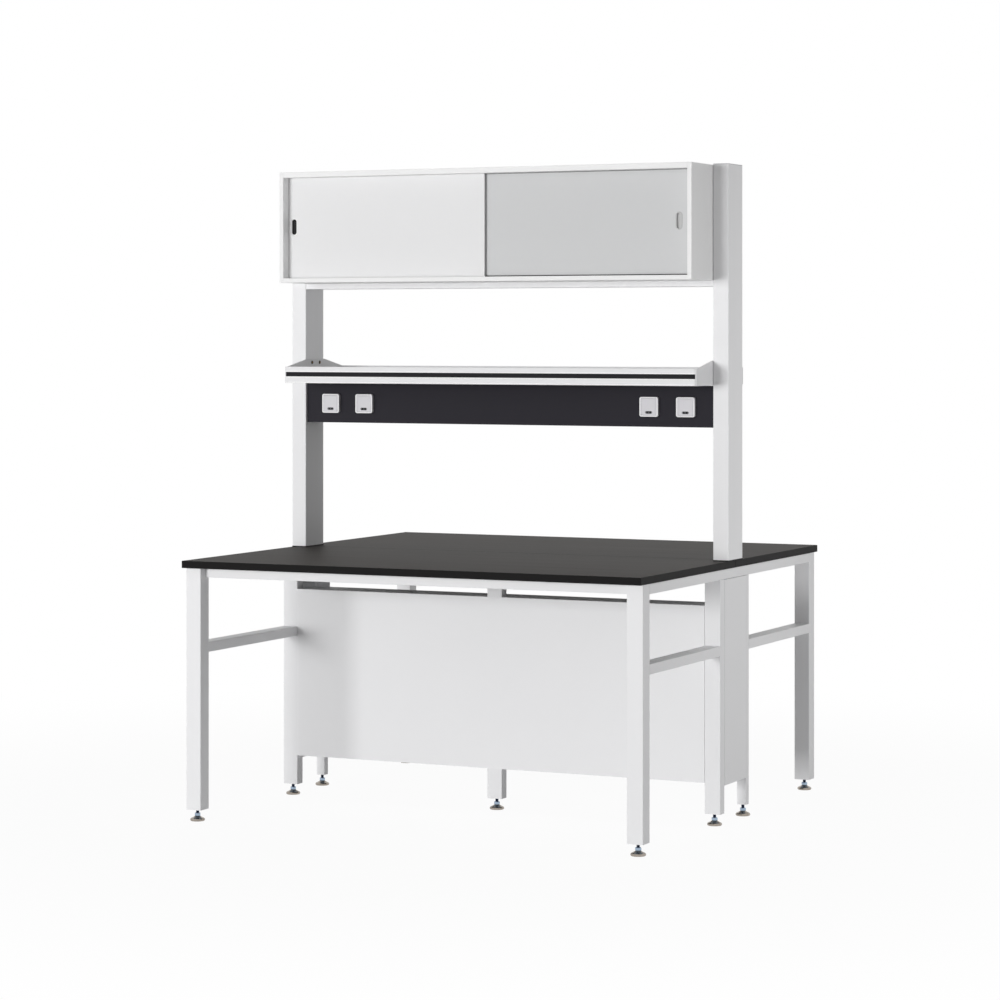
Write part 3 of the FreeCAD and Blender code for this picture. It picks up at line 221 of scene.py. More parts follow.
class BenchDetail(bpy.types.PropertyGroup):
    pad_dip: length_setting("Pad dip", "How far the pad's shoulder dips", 0.4 * MM)
    pad_steps: IntProperty(name="Pad steps", description="Faces round a levelling foot",
                           default=48, min=12, max=96)
    nut_chamfer: length_setting("Nut chamfer", "Chamfer of the hexagon's corners", 2.0 * MM)
    thread_pitch: length_setting("Thread pitch", "Pitch of the studs' thread", 1.5 * MM)
    thread_depth: length_setting("Thread depth", "Depth of the studs' thread", 0.7 * MM)
    screw_recess: length_setting("Screw recess", "Depth of the screws' recess", 1.3 * MM)
    # collar of the black cup painted as shade in a lid's finger notch
    inlay_proud: length_setting("Inlay relief", "Dark inlay's collar on a lid's face", 0.2 * MM)
    inlay_wall: length_setting("Inlay collar", "Width of the dark inlay's collar", 1.0 * MM)
    rim_width: length_setting("Socket rim", "Bright rim round a socket frame", 2.4 * MM)
    rim_proud: length_setting("Socket rim relief", "How far the bright rim stands proud", 0.4 * MM)
    rim_corner: length_setting("Socket rim corner", "Outer corner of the bright rim", 5.4 * MM)
    # heights of the black strips on the door tracks, painted shade along the doors' edges
    shade_brush_height: length_setting("Lower brush", "Brush between the lower grooves", 3.4 * MM)
    shade_brush_drop: length_setting("Upper brush", "Brush between the upper grooves", 1.2 * MM)
    pull_rim: length_setting("Pull rim", "Width of the rim round a pull's cup", 3.0 * MM)
    pull_wall: length_setting("Pull wall", "Wall of a pull's cup", 1.2 * MM)
    pull_round: length_setting("Pull rounding", "Edge radius of the pulls' rims", 0.35 * MM)
    cup_round: length_setting("Cup rounding", "Radius round a cup's floor", 1.6 * MM)
    bead_height: length_setting("Bead", "Bright beads along the shelf's grooves", 3.2 * MM)
    bead_proud: length_setting("Bead relief", "How far a bead stands proud", 0.5 * MM)


class BenchStage(bpy.types.PropertyGroup):
    camera_place: FloatVectorProperty(
        name="Camera", description="Camera's place", subtype="TRANSLATION", size=3,
        default=(4.0453, -8.7211, 1.4745))
    camera_turn: FloatProperty(
        name="Turn", description="Camera's turn about the vertical", subtype="ANGLE",
        default=math.radians(25.775))
    lens: FloatProperty(name="Lens", description="Focal length in millimetres", default=110.33,
                        min=10)
    shift_across: FloatProperty(name="Shift across", description="Lens shift", default=0.0366)
    shift_up: FloatProperty(name="Shift up", description="Lens shift", default=-0.1657)
    ambient: FloatProperty(name="Ambient", description="Even light from all round",
                           default=0.25, min=0)
    key: FloatProperty(name="Key", description="Power of the front light in watts",
                       default=1215, min=0, unit="POWER")
    side: FloatProperty(name="Side", description="Power of the right-hand light in watts",
                        default=14, min=0, unit="POWER")
    back: FloatProperty(name="Back", description="Power of the rear light in watts",
                        default=400, min=0, unit="POWER")
    floor_white: FloatProperty(name="Floor", description="Brightness of the floor", default=0.84,
                               min=0, max=1)


def finish_settings():
    return bpy.context.scene.bench_finish


def detail_settings():
    return bpy.context.scene.bench_detail


def stage_settings():
    return bpy.context.scene.bench_stage


# --- Shader groups ----------------------------------------------------------------------

FINISH_OUTPUTS = (("Color", "NodeSocketColor"), ("Roughness", "NodeSocketFloat"),
                  ("Normal", "NodeSocketVector"))


def new_group(name, inputs):
    """A shader node group of named inputs (name, type, default) that puts out a finish."""
    group = bpy.data.node_groups.new(name, "ShaderNodeTree")
    for label, kind, default in inputs:
        socket = group.interface.new_socket(label, in_out="INPUT", socket_type=kind)
        socket.default_value = default
    for label, kind in FINISH_OUTPUTS:
        group.interface.new_socket(label, in_out="OUTPUT", socket_type=kind)
    return group, group.nodes.new("NodeGroupInput"), group.nodes.new("NodeGroupOutput")


def add(tree, kind, values=None, **settings):
    """A node with its settings and the values of its unlinked inputs."""
    node = tree.nodes.new(kind)
    for key, value in settings.items():
        setattr(node, key, value)
    for key, value in (values or {}).items():
        node.inputs[key].default_value = value
    return node


def object_noise(tree, coordinates, scale, detail, stretch=(1, 1, 1)):
    """Noise on object coordinates, in cycles per metre, drawn out along an axis."""
    mapping = add(tree, "ShaderNodeMapping", {"Scale": stretch})
    noise = add(tree, "ShaderNodeTexNoise", {"Detail": detail})
    tree.links.new(coordinates, mapping.inputs["Vector"])
    tree.links.new(mapping.outputs["Vector"], noise.inputs["Vector"])
    if isinstance(scale, (int, float)):
        noise.inputs["Scale"].default_value = scale
    else:
        tree.links.new(scale, noise.inputs["Scale"])
    return noise.outputs["Fac"]


def spread(tree, source, low, high):
    """Map a 0 to 1 value onto a range given by numbers or sockets."""
    ranged = add(tree, "ShaderNodeMapRange")
    tree.links.new(source, ranged.inputs["Value"])
    for label, value in (("To Min", low), ("To Max", high)):
        if isinstance(value, (int, float)):
            ranged.inputs[label].default_value = value
        else:
            tree.links.new(value, ranged.inputs[label])
    return ranged.outputs["Result"]


def stain(group, source, sink, noise, depth):
    """Darken the colour where a noise is low, as deep as the input named depth says."""
    darkest = add(group, "ShaderNodeMath", {0: 1.0}, operation="SUBTRACT")
    group.links.new(source.outputs[depth], darkest.inputs[1])
    mixed = add(group, "ShaderNodeMix", {"Factor": 1.0}, data_type="RGBA", blend_type="MULTIPLY")
    group.links.new(source.outputs["Color"], mixed.inputs["A"])
    group.links.new(spread(group, noise, darkest.outputs[0], 1.0), mixed.inputs["B"])
    group.links.new(mixed.outputs["Result"], sink.inputs["Color"])


def roughen(group, source, sink, noise, sheen, relief):
    """Let a noise vary the roughness within a range and raise the surface."""
    rough = add(group, "ShaderNodeMath", operation="ADD")
    group.links.new(spread(group, noise, *sheen), rough.inputs[0])
    group.links.new(source.outputs["Roughness"], rough.inputs[1])
    group.links.new(rough.outputs[0], sink.inputs["Roughness"])
    bump = add(group, "ShaderNodeBump", relief)
    group.links.new(noise, bump.inputs["Height"])
    group.links.new(bump.outputs["Normal"], sink.inputs["Normal"])
    return bump


def make_coat_group():
    """Sprayed or powder coat: orange peel, faint cloudiness and uneven sheen."""
    group, source, sink = new_group("sprayed_coat", [
        ("Color", "NodeSocketColor", (0.8, 0.8, 0.8, 1)),
        ("Roughness", "NodeSocketFloat", 0.4),
        ("Grain per metre", "NodeSocketFloat", 700.0),
        ("Relief", "NodeSocketFloat", 0.08),
        ("Cloud", "NodeSocketFloat", 0.03),
    ])
    place = add(group, "ShaderNodeTexCoord").outputs["Object"]
    cloud = object_noise(group, place, scale=2.3, detail=3.0)
    stain(group, source, sink, cloud, "Cloud")
    peel = object_noise(group, place, source.outputs["Grain per metre"], detail=3.0)
    bump = roughen(group, source, sink, peel, (-0.06, 0.06), {"Distance": 0.0004})
    group.links.new(source.outputs["Relief"], bump.inputs["Strength"])
    return group


def make_grain_group():
    """Dark laminate with fine streaks along the board, sealed edges and a soft pore relief."""
    group, source, sink = new_group("streaked_laminate", [
        ("Body", "NodeSocketColor", (0.03, 0.03, 0.03, 1)),
        ("Streak", "NodeSocketColor", (0.06, 0.05, 0.05, 1)),
        ("Edge", "NodeSocketColor", (0.02, 0.02, 0.02, 1)),
        ("Roughness", "NodeSocketFloat", 0.34),
    ])
    spot = add(group, "ShaderNodeTexCoord")
    place = spot.outputs["Object"]
    broad = object_noise(group, place, scale=9.0, detail=4.0, stretch=(0.12, 1.0, 1.0))
    fine = object_noise(group, place, scale=60.0, detail=6.0, stretch=(0.03, 1.0, 1.0))
    both = add(group, "ShaderNodeMath", operation="MULTIPLY")
    group.links.new(spread(group, broad, 0.35, 1.15), both.inputs[0])
    group.links.new(spread(group, fine, 0.2, 1.1), both.inputs[1])
    mixed = add(group, "ShaderNodeMix", data_type="RGBA", clamp_factor=True)
    group.links.new(both.outputs[0], mixed.inputs["Factor"])
    group.links.new(source.outputs["Body"], mixed.inputs["A"])
    group.links.new(source.outputs["Streak"], mixed.inputs["B"])
    upright = add(group, "ShaderNodeSeparateXYZ")
    group.links.new(spot.outputs["Normal"], upright.inputs["Vector"])
    level = add(group, "ShaderNodeMath", operation="ABSOLUTE")
    group.links.new(upright.outputs["Z"], level.inputs[0])
    flat = add(group, "ShaderNodeMath", {1: 0.9}, operation="GREATER_THAN")
    group.links.new(level.outputs[0], flat.inputs[0])
    sealed = add(group, "ShaderNodeMix", data_type="RGBA")
    group.links.new(flat.outputs[0], sealed.inputs["Factor"])
    group.links.new(source.outputs["Edge"], sealed.inputs["A"])
    group.links.new(mixed.outputs["Result"], sealed.inputs["B"])
    group.links.new(sealed.outputs["Result"], sink.inputs["Color"])
    roughen(group, source, sink, fine, (-0.05, 0.05), {"Distance": 0.0003, "Strength": 0.12})
    return group


def make_metal_group():
    """Plated or drawn metal: fine scratches, faint tarnish and uneven sheen."""
    group, source, sink = new_group("plated_metal", [
        ("Color", "NodeSocketColor", (0.5, 0.5, 0.5, 1)),
        ("Roughness", "NodeSocketFloat", 0.3),
        ("Tarnish", "NodeSocketFloat", 0.25),
    ])
    place = add(group, "ShaderNodeTexCoord").outputs["Object"]
    tarnish = object_noise(group, place, scale=90.0, detail=4.0)
    stain(group, source, sink, tarnish, "Tarnish")
    scratch = object_noise(group, place, scale=1500.0, detail=3.0, stretch=(1.0, 1.0, 0.15))
    roughen(group, source, sink, scratch, (-0.08, 0.12), {"Distance": 0.0002, "Strength": 0.05})
    return group


GROUP_MAKERS = {
    "sprayed_coat": make_coat_group,
    "streaked_laminate": make_grain_group,
    "plated_metal": make_metal_group,
}


def shared_group(name):
    """A shader group, built the first time that it is asked for."""
    return bpy.data.node_groups.get(name) or GROUP_MAKERS[name]()


# --- Materials --------------------------------------------------------------------------

def finish(name, group, colours, values, metallic=0.0, specular=0.5):
    """A material whose colour, roughness and relief come from a shared group."""
    material = bpy.data.materials.new(name)
    material.use_nodes = True
    tree = material.node_tree
    shader = tree.nodes["Principled BSDF"]
    effect = add(tree, "ShaderNodeGroup")
    effect.node_tree = shared_group(group)
    for label, colour in colours.items():
        effect.inputs[label].default_value = (*colour, 1)
    for label, value in values.items():
        effect.inputs[label].default_value = value
    tree.links.new(effect.outputs["Color"], shader.inputs["Base Color"])
    tree.links.new(effect.outputs["Roughness"], shader.inputs["Roughness"])
    tree.links.new(effect.outputs["Normal"], shader.inputs["Normal"])
    shader.inputs["Metallic"].default_value = metallic
    shader.inputs["Specular IOR Level"].default_value = specular
    return material


def coat(name, colour):
    """A sprayed, anodised or moulded finish with the values of its row."""
    roughness, grain, relief, cloud, specular = COATS[name]
    return finish(name, "sprayed_coat", {"Color": colour}, {
        "Roughness": roughness, "Grain per metre": grain, "Relief": relief, "Cloud": cloud,
    }, specular=specular)


def metal(name, colour):
    """A plated, polished or blackened metal with the values of its row."""
    roughness, tarnish = METALS[name]
    return finish(name, "plated_metal", {"Color": colour},
                  {"Roughness": roughness, "Tarnish": tarnish}, metallic=1.0)


def dress(material, *nodes):
    """Give CAD nodes a material in place of their plain one."""
    for name in nodes:
        for slot in NODES[name].material_slots:
            slot.material = material


# --- Mesh helpers -----------------------------------------------------------------------

def piece_from(shape, name, body, material, smooth_below=40):
    """Turn a bmesh into a piece on a body, shaded smooth below an angle in degrees."""
    bmesh.ops.remove_doubles(shape, verts=shape.verts, dist=NEAR)
    bmesh.ops.recalc_face_normals(shape, faces=shape.faces)
    for face in shape.faces:
        face.smooth = True
    for edge in shape.edges:
        edge.smooth = edge.calc_face_angle(0.0) < math.radians(smooth_below)
    mesh = bpy.data.meshes.new(name)
    shape.to_mesh(mesh)
    shape.free()
    mesh.materials.append(material)
    piece = bpy.data.objects.new(name, mesh)
    bpy.context.scene.collection.objects.link(piece)
    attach(piece, body)
    return piece


def turned(profile, centre, steps, axis=Z_AXIS):
    """Spin a profile of (radius, height) points about an axis through a centre."""
    shape = bmesh.new()
    corners = [shape.verts.new((radius, 0, height)) for radius, height in profile]
    edges = [shape.edges.new(pair) for pair in zip(corners, corners[1:])]
    bmesh.ops.spin(shape, geom=corners + edges, cent=(0, 0, 0), axis=(0, 0, 1),
                   angle=FULL_TURN, steps=steps, use_merge=True)
    turn = Z_AXIS.rotation_difference(axis).to_matrix().to_4x4()
    bmesh.ops.remove_doubles(shape, verts=shape.verts, dist=NEAR)
    bmesh.ops.transform(shape, matrix=Matrix.Translation(centre) @ turn, verts=shape.verts)
    return shape


def soften(shape, edges, size, segments=2):
    bmesh.ops.bevel(shape, geom=edges, offset=size, offset_type="OFFSET", segments=segments,
                    profile=0.5, affect="EDGES", clamp_overlap=True, material=-1)


def pill_face(half_width, half_height):
    """A filled upright slot outline that faces the front: a circle with its halves drawn apart."""
    shape = bmesh.new()
    half_step = math.pi / ROUND_STEPS
    bmesh.ops.create_circle(shape, cap_ends=True, segments=ROUND_STEPS,
                            radius=half_width / math.cos(half_step),
                            matrix=Matrix.Rotation(half_step, 4, "Z"))
    for sense in (1, -1):
        half = [vertex for vertex in shape.verts if vertex.co.y * sense > 0]
        bmesh.ops.translate(shape, verts=half, vec=(0, sense * (half_height - half_width), 0))
    bmesh.ops.rotate(shape, verts=shape.verts, cent=(0, 0, 0),
                     matrix=Matrix.Rotation(math.pi / 2, 3, "X"))
    return shape


def push(shape, faces, distance, hollow=False):
    """Extrude faces along Y, backwards when the distance is positive, and return the new ones.

    A hollow loses the faces that it starts from, and a solid keeps them as its other end.
    """
    grown = bmesh.ops.extrude_face_region(shape, geom=faces)["geom"]
    moved = [item for item in grown if isinstance(item, bmesh.types.BMVert)]
    bmesh.ops.translate(shape, verts=moved, vec=(0, distance, 0))
    if hollow:
        bmesh.ops.delete(shape, geom=faces, context="FACES_ONLY")
    return [item for item in grown if isinstance(item, bmesh.types.BMFace)]


def inset(shape, faces, width):
    """Inset faces by an even width, along open edges too, and return the ring that this makes."""
    return bmesh.ops.inset_region(shape, faces=faces, thickness=width, use_boundary=True,
                                  use_even_offset=True)["faces"]


def flat_ring(shape, width):
    """Turn a shape of one face into a ring along its outline."""
    ring = inset(shape, shape.faces[:], width)
    inner = [face for face in shape.faces if face not in ring]
    bmesh.ops.delete(shape, geom=inner, context="FACES_ONLY")
    if not shape.faces:
        raise RuntimeError("a ring came out empty")


def sharp_edges_at(shape, level):
    """Edges at one depth whose faces meet at more than one radian."""
    shape.normal_update()
    return [edge for edge in shape.edges
            if all(abs(vertex.co.y - level) < NEAR for vertex in edge.verts)
            and edge.calc_face_angle(0.0) > 1.0]


def move(shape, place):
    bmesh.ops.translate(shape, verts=shape.verts, vec=place)
    return shape


def smooth_curve(points, steps):
    """Points of a smooth line through a few given ones."""
    line = []
    last = len(points) - 1
    for index in range(last):
        before = Vector(points[max(index - 1, 0)])
        start = Vector(points[index])
        end = Vector(points[index + 1])
        after = Vector(points[min(index + 2, last)])
        for step in range(steps):
            share = step / steps
            line.append(0.5 * (
                2 * start + (end - before) * share
                + (2 * before - 5 * start + 4 * end - after) * share ** 2
                + (3 * start - before - 3 * end + after) * share ** 3))
    line.append(Vector(points[last]))
    return line


# --- Operators --------------------------------------------------------------------------

class BENCH_OT_worktops(bpy.types.Operator):
    """Dress the two worktops in dark streaked laminate with sealed edges"""

    bl_idname = "bench.worktops"
    bl_label = "Worktops"

    def execute(self, context):
        colours = finish_settings()
        dress(finish("dark_laminate", "streaked_laminate", {
            "Body": colours.worktop_dark, "Streak": colours.worktop_grain,
            "Edge": colours.worktop_edge,
        }, {"Roughness": 0.55}, specular=0.06), "worktop_front", "worktop_rear")
        return {"FINISHED"}


class BENCH_OT_frame(bpy.types.Operator):
    """Dress legs, rails, folded panels and the hidden fixings"""

    bl_idname = "bench.frame"
    bl_label = "Frame and panels"

    def execute(self, context):
        colours = finish_settings()
        legs = [name for name in NODES if "_leg_" in name]
        dress(coat("frame_coat", colours.frame_white), "apron_rail_front", "apron_rail_rear",
              "side_rails", "mid_rails", "spine_rail", "inner_rail", *legs)
        dress(coat("panel_coat", colours.panel_white), "modesty_panel", "end_panels")
        dress(metal("plated_fixings", colours.zinc_blue), "leg_plugs", "post_base_plates",
              "post_bolts")
        return {"FINISHED"}


class BENCH_OT_posts(bpy.types.Operator):
    """Dress the posts, their caps and gaskets, and the cross beam"""

    bl_idname = "bench.posts"
    bl_label = "Posts"

    def execute(self, context):
        colours = finish_settings()
        dress(coat("post_coat", colours.post_white), "post_left", "post_right")
        # the beam's whiter coat is painted light against the cabinet's shadow on it
        dress(coat("beam_coat", colours.beam_white_painted_light), "cross_beam")
        dress(coat("cap_plastic_grey", colours.cap_grey), "post_caps")
        dress(coat("gasket_rubber", colours.gasket_black), "post_gaskets")
        return {"FINISHED"}


class BENCH_OT_feet(bpy.types.Operator):
    """Model each levelling foot: bell-shaped pad, chamfered hexagon and threaded stud"""

    bl_idname = "bench.feet"
    bl_label = "Levelling feet"

    def execute(self, context):
        colours = finish_settings()
        detail = detail_settings()
        nickel = metal("pad_nickel", colours.nickel)
        zinc = metal("zinc_blue", colours.zinc_blue)
        navy = metal("stud_navy", colours.stud_navy)
        for name in [node for node in NODES if node.endswith("_foot")]:
            low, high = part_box(name)
            middle = Vector(((low.x + high.x) / 2, (low.y + high.y) / 2, low.z))
            radius = (high.x - low.x) / 2
            pad = piece_from(self.pad(middle, radius, detail), name + "_pad", BODY_OF[name],
                             nickel)
            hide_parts(name)
            piece_from(self.nut(middle, radius, detail), name + "_nut", BODY_OF[name], zinc,
                       smooth_below=30)
            piece_from(self.stud(middle, radius, high.z - low.z, detail), name + "_stud",
                       BODY_OF[name], navy, smooth_below=50)
        return {"FINISHED"}

    @staticmethod
    def pad(middle, radius, detail):
        """Bell: thick rolled rim, dished shoulder, neck and a hollow underside."""
        neck = radius * PAD_NECK
        rim = radius * PAD_RIM
        shoulder = radius * PAD_SHOULDER
        top = radius * PAD_TOP
        hollow = 1.2 * MM
        flank = [(radius - 1.6 * MM, 0), (radius - 0.3 * MM, rim * 0.2), (radius, rim * 0.48),
                 (radius - 1.3 * MM, rim * 0.8), (shoulder, rim),
                 ((shoulder + neck) / 2, (rim + top) / 2 - detail.pad_dip), (neck, top)]
        line = [(point.x, point.y) for point in smooth_curve(flank, 5)]
        inside = [(radius - 3 * MM, 0), (radius - 4 * MM, hollow), (0, hollow)]
        return turned([(0, top), *reversed(line), *inside], middle, detail.pad_steps)

    @staticmethod
    def nut(middle, radius, detail):
        """Hexagon with chamfered ends above the pad's neck."""
        corner = radius * NUT_HALF_WIDTH / math.cos(math.pi / 6)
        low = radius * PAD_TOP
        high = radius * NUT_TOP
        shape = bmesh.new()
        bmesh.ops.create_cone(shape, cap_ends=True, segments=6, radius1=corner, radius2=corner,
                              depth=high - low)
        bmesh.ops.rotate(shape, verts=shape.verts, cent=(0, 0, 0),
                         matrix=Matrix.Rotation(math.pi / 6, 3, "Z"))
        ends = [edge for edge in shape.edges
                if abs(edge.verts[0].co.z - edge.verts[1].co.z) < NEAR]
        soften(shape, ends, detail.nut_chamfer)
        return move(shape, middle + Vector((0, 0, (low + high) / 2)))

    @staticmethod
    def stud(middle, radius, top, detail):
        """Stud with a ridged thread, from inside the hexagon to its end inside the leg."""
        outer = radius * STUD_RADIUS
        inner = outer - detail.thread_depth
        level = radius * NUT_TOP
        profile = [(0, level - MM), (inner, level - MM)]
        while level < top - detail.thread_pitch:
            profile += [(inner, level), (outer, level + detail.thread_pitch / 2)]
            level += detail.thread_pitch
        profile += [(inner, level), (inner, top), (0, top)]
        return turned(profile, middle, ROUND_STEPS)


class BENCH_OT_shelf(bpy.types.Operator):
    """Dress the reagent shelf, and model its bright beads and bracket screws"""

    bl_idname = "bench.shelf"
    bl_label = "Reagent shelf"

    def execute(self, context):
        colours = finish_settings()
        dress(coat("shelf_coat", colours.shelf_white), "shelf_rail_front", "shelf_rail_rear")
        dress(coat("shelf_board_face", colours.cabinet_white), "shelf_board")
        dress(coat("groove_strip", colours.strip_black), "shelf_strips")
        dress(coat("bracket_coat", colours.bracket_grey), "shelf_bracket_left",
              "shelf_bracket_right")
        self.beads(metal("bead_polish", colours.bead_white))
        self.screws(colours)
        return {"FINISHED"}

    @staticmethod
    def beads(white):
        """Thin rounded beads above and below the strip, and along the profile's lower edge."""
        detail = detail_settings()
        strip_low, strip_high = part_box("shelf_strips")
        for side, node in ((-1, "shelf_rail_front"), (1, "shelf_rail_rear")):
            low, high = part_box(node)
            face = low.y if side < 0 else high.y
            for name, level in (
                ("upper", strip_high.z + detail.bead_height / 2),
                ("lower", strip_low.z - detail.bead_height / 2),
                ("foot", low.z + detail.bead_height / 2 + BEAD_GAP),
            ):
                shape = bmesh.new()
                bmesh.ops.create_cube(shape, size=1.0)
                bmesh.ops.scale(shape, verts=shape.verts,
                                vec=(high.x - low.x, 2 * detail.bead_proud, detail.bead_height))
                move(shape, ((low.x + high.x) / 2, face, level))
                proud = [edge for edge in shape.edges if all(
                    (vertex.co.y - face) * side > 0 for vertex in edge.verts)
                    and abs(edge.verts[0].co.x - edge.verts[1].co.x) > MM]
                soften(shape, proud, detail.bead_proud * BEAD_ROUND, 3)
                piece_from(shape, "%s_%s_bead" % (node, name), BODY_OF[node], white)

    def screws(self, colours):
        """Button heads with a brass-coloured core, in place of the plain solids."""
        dark = metal("screw_black", colours.bronze)
        brass = metal("screw_brass", colours.brass)
        body = BODY_OF["bracket_screws"]
        low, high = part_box("bracket_screws")
        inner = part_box("shelf_bracket_right")[0].x
        head = inner - self.head_face()
        centre_z = (low.z + high.z) / 2
        radius = (high.z - low.z) / 2
        for side in (-1, 1):
            for sense in (-1, 1):
                y = sense * ((high.y - low.y) / 2 - radius)
                place = Vector((side * inner, y, centre_z))
                name = "bracket_screw_%s_%s" % (
                    "left" if side < 0 else "right", "front" if sense < 0 else "rear")
                piece_from(self.screw(place, -side, radius, head), name, body,
                                         dark, smooth_below=35)
                piece_from(self.core(place, -side, radius, head), name + "_core", body, brass,
                           smooth_below=35)
        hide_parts("bracket_screws")

    @staticmethod
    def head_face():
        """X of the right-hand screws' head faces, nearest to the middle."""
        return min(vertex.co.x for vertex in NODES["bracket_screws"].data.vertices
                   if vertex.co.x > 0)

    @staticmethod
    def screw(place, facing, radius, head):
        """Button head with a round recess, seated on the bracket."""
        recess = detail_settings().screw_recess
        dome = smooth_curve([(radius * across, head * up) for across, up in HEAD_DOME], 4)
        profile = [(0, 0), *[(point.x, point.y) for point in dome],
                   (radius * RECESS_MOUTH, head - 0.1 * MM),
                   (radius * RECESS_FLOOR, head - recess), (0, head - recess)]
        return turned(profile, place, ROUND_STEPS, Vector((facing, 0, 0)))

    @staticmethod
    def core(place, facing, radius, head):
        """Bright core, a shallow cone that fills most of the recess."""
        floor = head - detail_settings().screw_recess
        profile = [(radius * across, floor + rise) for across, rise in CORE_CONE]
        return turned(profile, place, CORE_STEPS, Vector((facing, 0, 0)))


class BENCH_OT_sockets(bpy.types.Operator):
    """Dress the power duct and sockets; add the frames' bright rims and the dark cups of painted
    shade in the lids' notches
    """

    bl_idname = "bench.sockets"
    bl_label = "Power duct and sockets"

    def execute(self, context):
        colours = finish_settings()
        dress(coat("dark_anodising", colours.duct_dark), "power_housing", "power_fascia")
        lids = sorted(name for name in NODES if name.startswith("socket_lid_"))
        dress(coat("silver_plastic", colours.socket_silver), "socket_frames", *lids)
        # a black cup and a paler bar, painted shade in each lid's finger notch
        dark = coat("lid_inlay", colours.inlay_black)
        mark = coat("lid_mark", colours.mark_grey)
        bright = metal("socket_rim", colours.bead_white)
        for name in lids:
            self.inlay(name, dark, mark)
            self.bright_rim(name, lids[0], bright)
        return {"FINISHED"}

    @staticmethod
    def bright_rim(name, first, bright):
        """Polished rim along the outer edge of the frame round a lid.

        The frames are one node, so its end and the first lid's middle give a frame's half width.
        """
        detail = detail_settings()
        frame_low, frame_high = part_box("socket_frames")
        low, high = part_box(name)
        first_low, first_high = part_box(first)
        centre = Vector(((low.x + high.x) / 2, frame_low.y, (frame_low.z + frame_high.z) / 2))
        half = (first_low.x + first_high.x) / 2 - frame_low.x - FRAME_ROUND
        shape = bmesh.new()
        bmesh.ops.create_grid(shape, x_segments=1, y_segments=1, size=half)
        bmesh.ops.bevel(shape, geom=shape.verts[:], offset=detail.rim_corner, offset_type="OFFSET",
                        segments=6, profile=0.5, affect="VERTICES", material=-1)
        bmesh.ops.rotate(shape, verts=shape.verts, cent=(0, 0, 0),
                         matrix=Matrix.Rotation(math.pi / 2, 3, "X"))
        flat_ring(shape, detail.rim_width)
        push(shape, shape.faces[:], -detail.rim_proud)
        soften(shape, sharp_edges_at(shape, -detail.rim_proud), detail.rim_proud * RIM_ROUND)
        piece_from(move(shape, centre), name.replace("lid", "rim"), BODY_OF["socket_frames"],
                   bright)

    @staticmethod
    def inlay(name, dark, mark):
        """Dark cup of painted shade that lines the lid's finger notch, with a paler bar of lighter
        painted shade along its floor.
        """
        detail = detail_settings()
        low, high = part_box(name)
        place = Vector(((low.x + high.x) / 2, low.y, low.z + NOTCH_RISE))
        for part, half, back, front, material in (
            ("inlay", NOTCH_SHADE_HALF, NOTCH_DEPTH, -detail.inlay_proud, dark),
            ("mark", FLOOR_SHADE_HALF, NOTCH_DEPTH / 2, 0, mark),
        ):
            shape = pill_face(*half)
            bmesh.ops.rotate(shape, verts=shape.verts, cent=(0, 0, 0),
                             matrix=Matrix.Rotation(math.pi / 2, 3, "Y"))
            move(shape, (0, back, 0))
            push(shape, shape.faces[:], front - back)
            soften(shape, sharp_edges_at(shape, front), NOTCH_ROUND)
            if part == "inlay":
                floor = [face for face in shape.faces if all(
                    abs(vertex.co.y - front) < NEAR for vertex in face.verts)]
                inset(shape, floor, detail.inlay_wall)
                push(shape, floor, NOTCH_DEPTH / 2 - front, hollow=True)
            piece_from(move(shape, place), "%s_%s" % (name, part), BODY_OF[name], material)


class BENCH_OT_cabinet(bpy.types.Operator):
    """Dress the cabinet and its two sliding doors, and lay black strips on the tracks as painted
    shade along the doors' edges
    """

    bl_idname = "bench.cabinet"
    bl_label = "Cabinet"

    def execute(self, context):
        colours = finish_settings()
        dress(coat("faced_board", colours.cabinet_white), "cabinet_side_left",
              "cabinet_side_right", "cabinet_top", "cabinet_bottom", "cabinet_back")
        dress(coat("track_coat", colours.cabinet_white), "door_tracks")
        dress(coat("door_coat_white", colours.door_white), "door_left")
        dress(coat("door_coat_grey", colours.door_grey), "door_right")
        # the black strips on the tracks are painted shade in the gaps below and above the doors
        self.brushes(coat("track_brush_black", colours.strip_black))
        return {"FINISHED"}

    @staticmethod
    def brushes(black):
        """Low black strips on the tracks' fins, between the front door and the rear door, painted
        shade in the gaps along the doors' lower and upper edges.
        """
        track_low, track_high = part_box("door_tracks")
        back_of_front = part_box("door_left")[1].y
        front_of_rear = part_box("door_right")[0].y
        detail = detail_settings()
        for end, level, sense, height in (
            ("lower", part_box("cabinet_bottom")[1].z, 1, detail.shade_brush_height),
            ("upper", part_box("cabinet_top")[0].z, -1, detail.shade_brush_drop),
        ):
            shape = bmesh.new()
            bmesh.ops.create_cube(shape, size=1.0)
            bmesh.ops.scale(shape, verts=shape.verts, vec=(
                track_high.x - track_low.x - 2 * SHADE_BRUSH_GAP,
                (front_of_rear - back_of_front) * SHADE_BRUSH_SHARE, height))
            move(shape, (0, (back_of_front + front_of_rear) / 2, level + sense * height / 2))
            tip = [edge for edge in shape.edges if all(
                (vertex.co.z - level) * sense > height / 2 for vertex in edge.verts)]
            soften(shape, tip, SHADE_BRUSH_ROUND, 3)
            piece_from(shape, "door_track_brush_" + end, BODY_OF["door_tracks"], black)


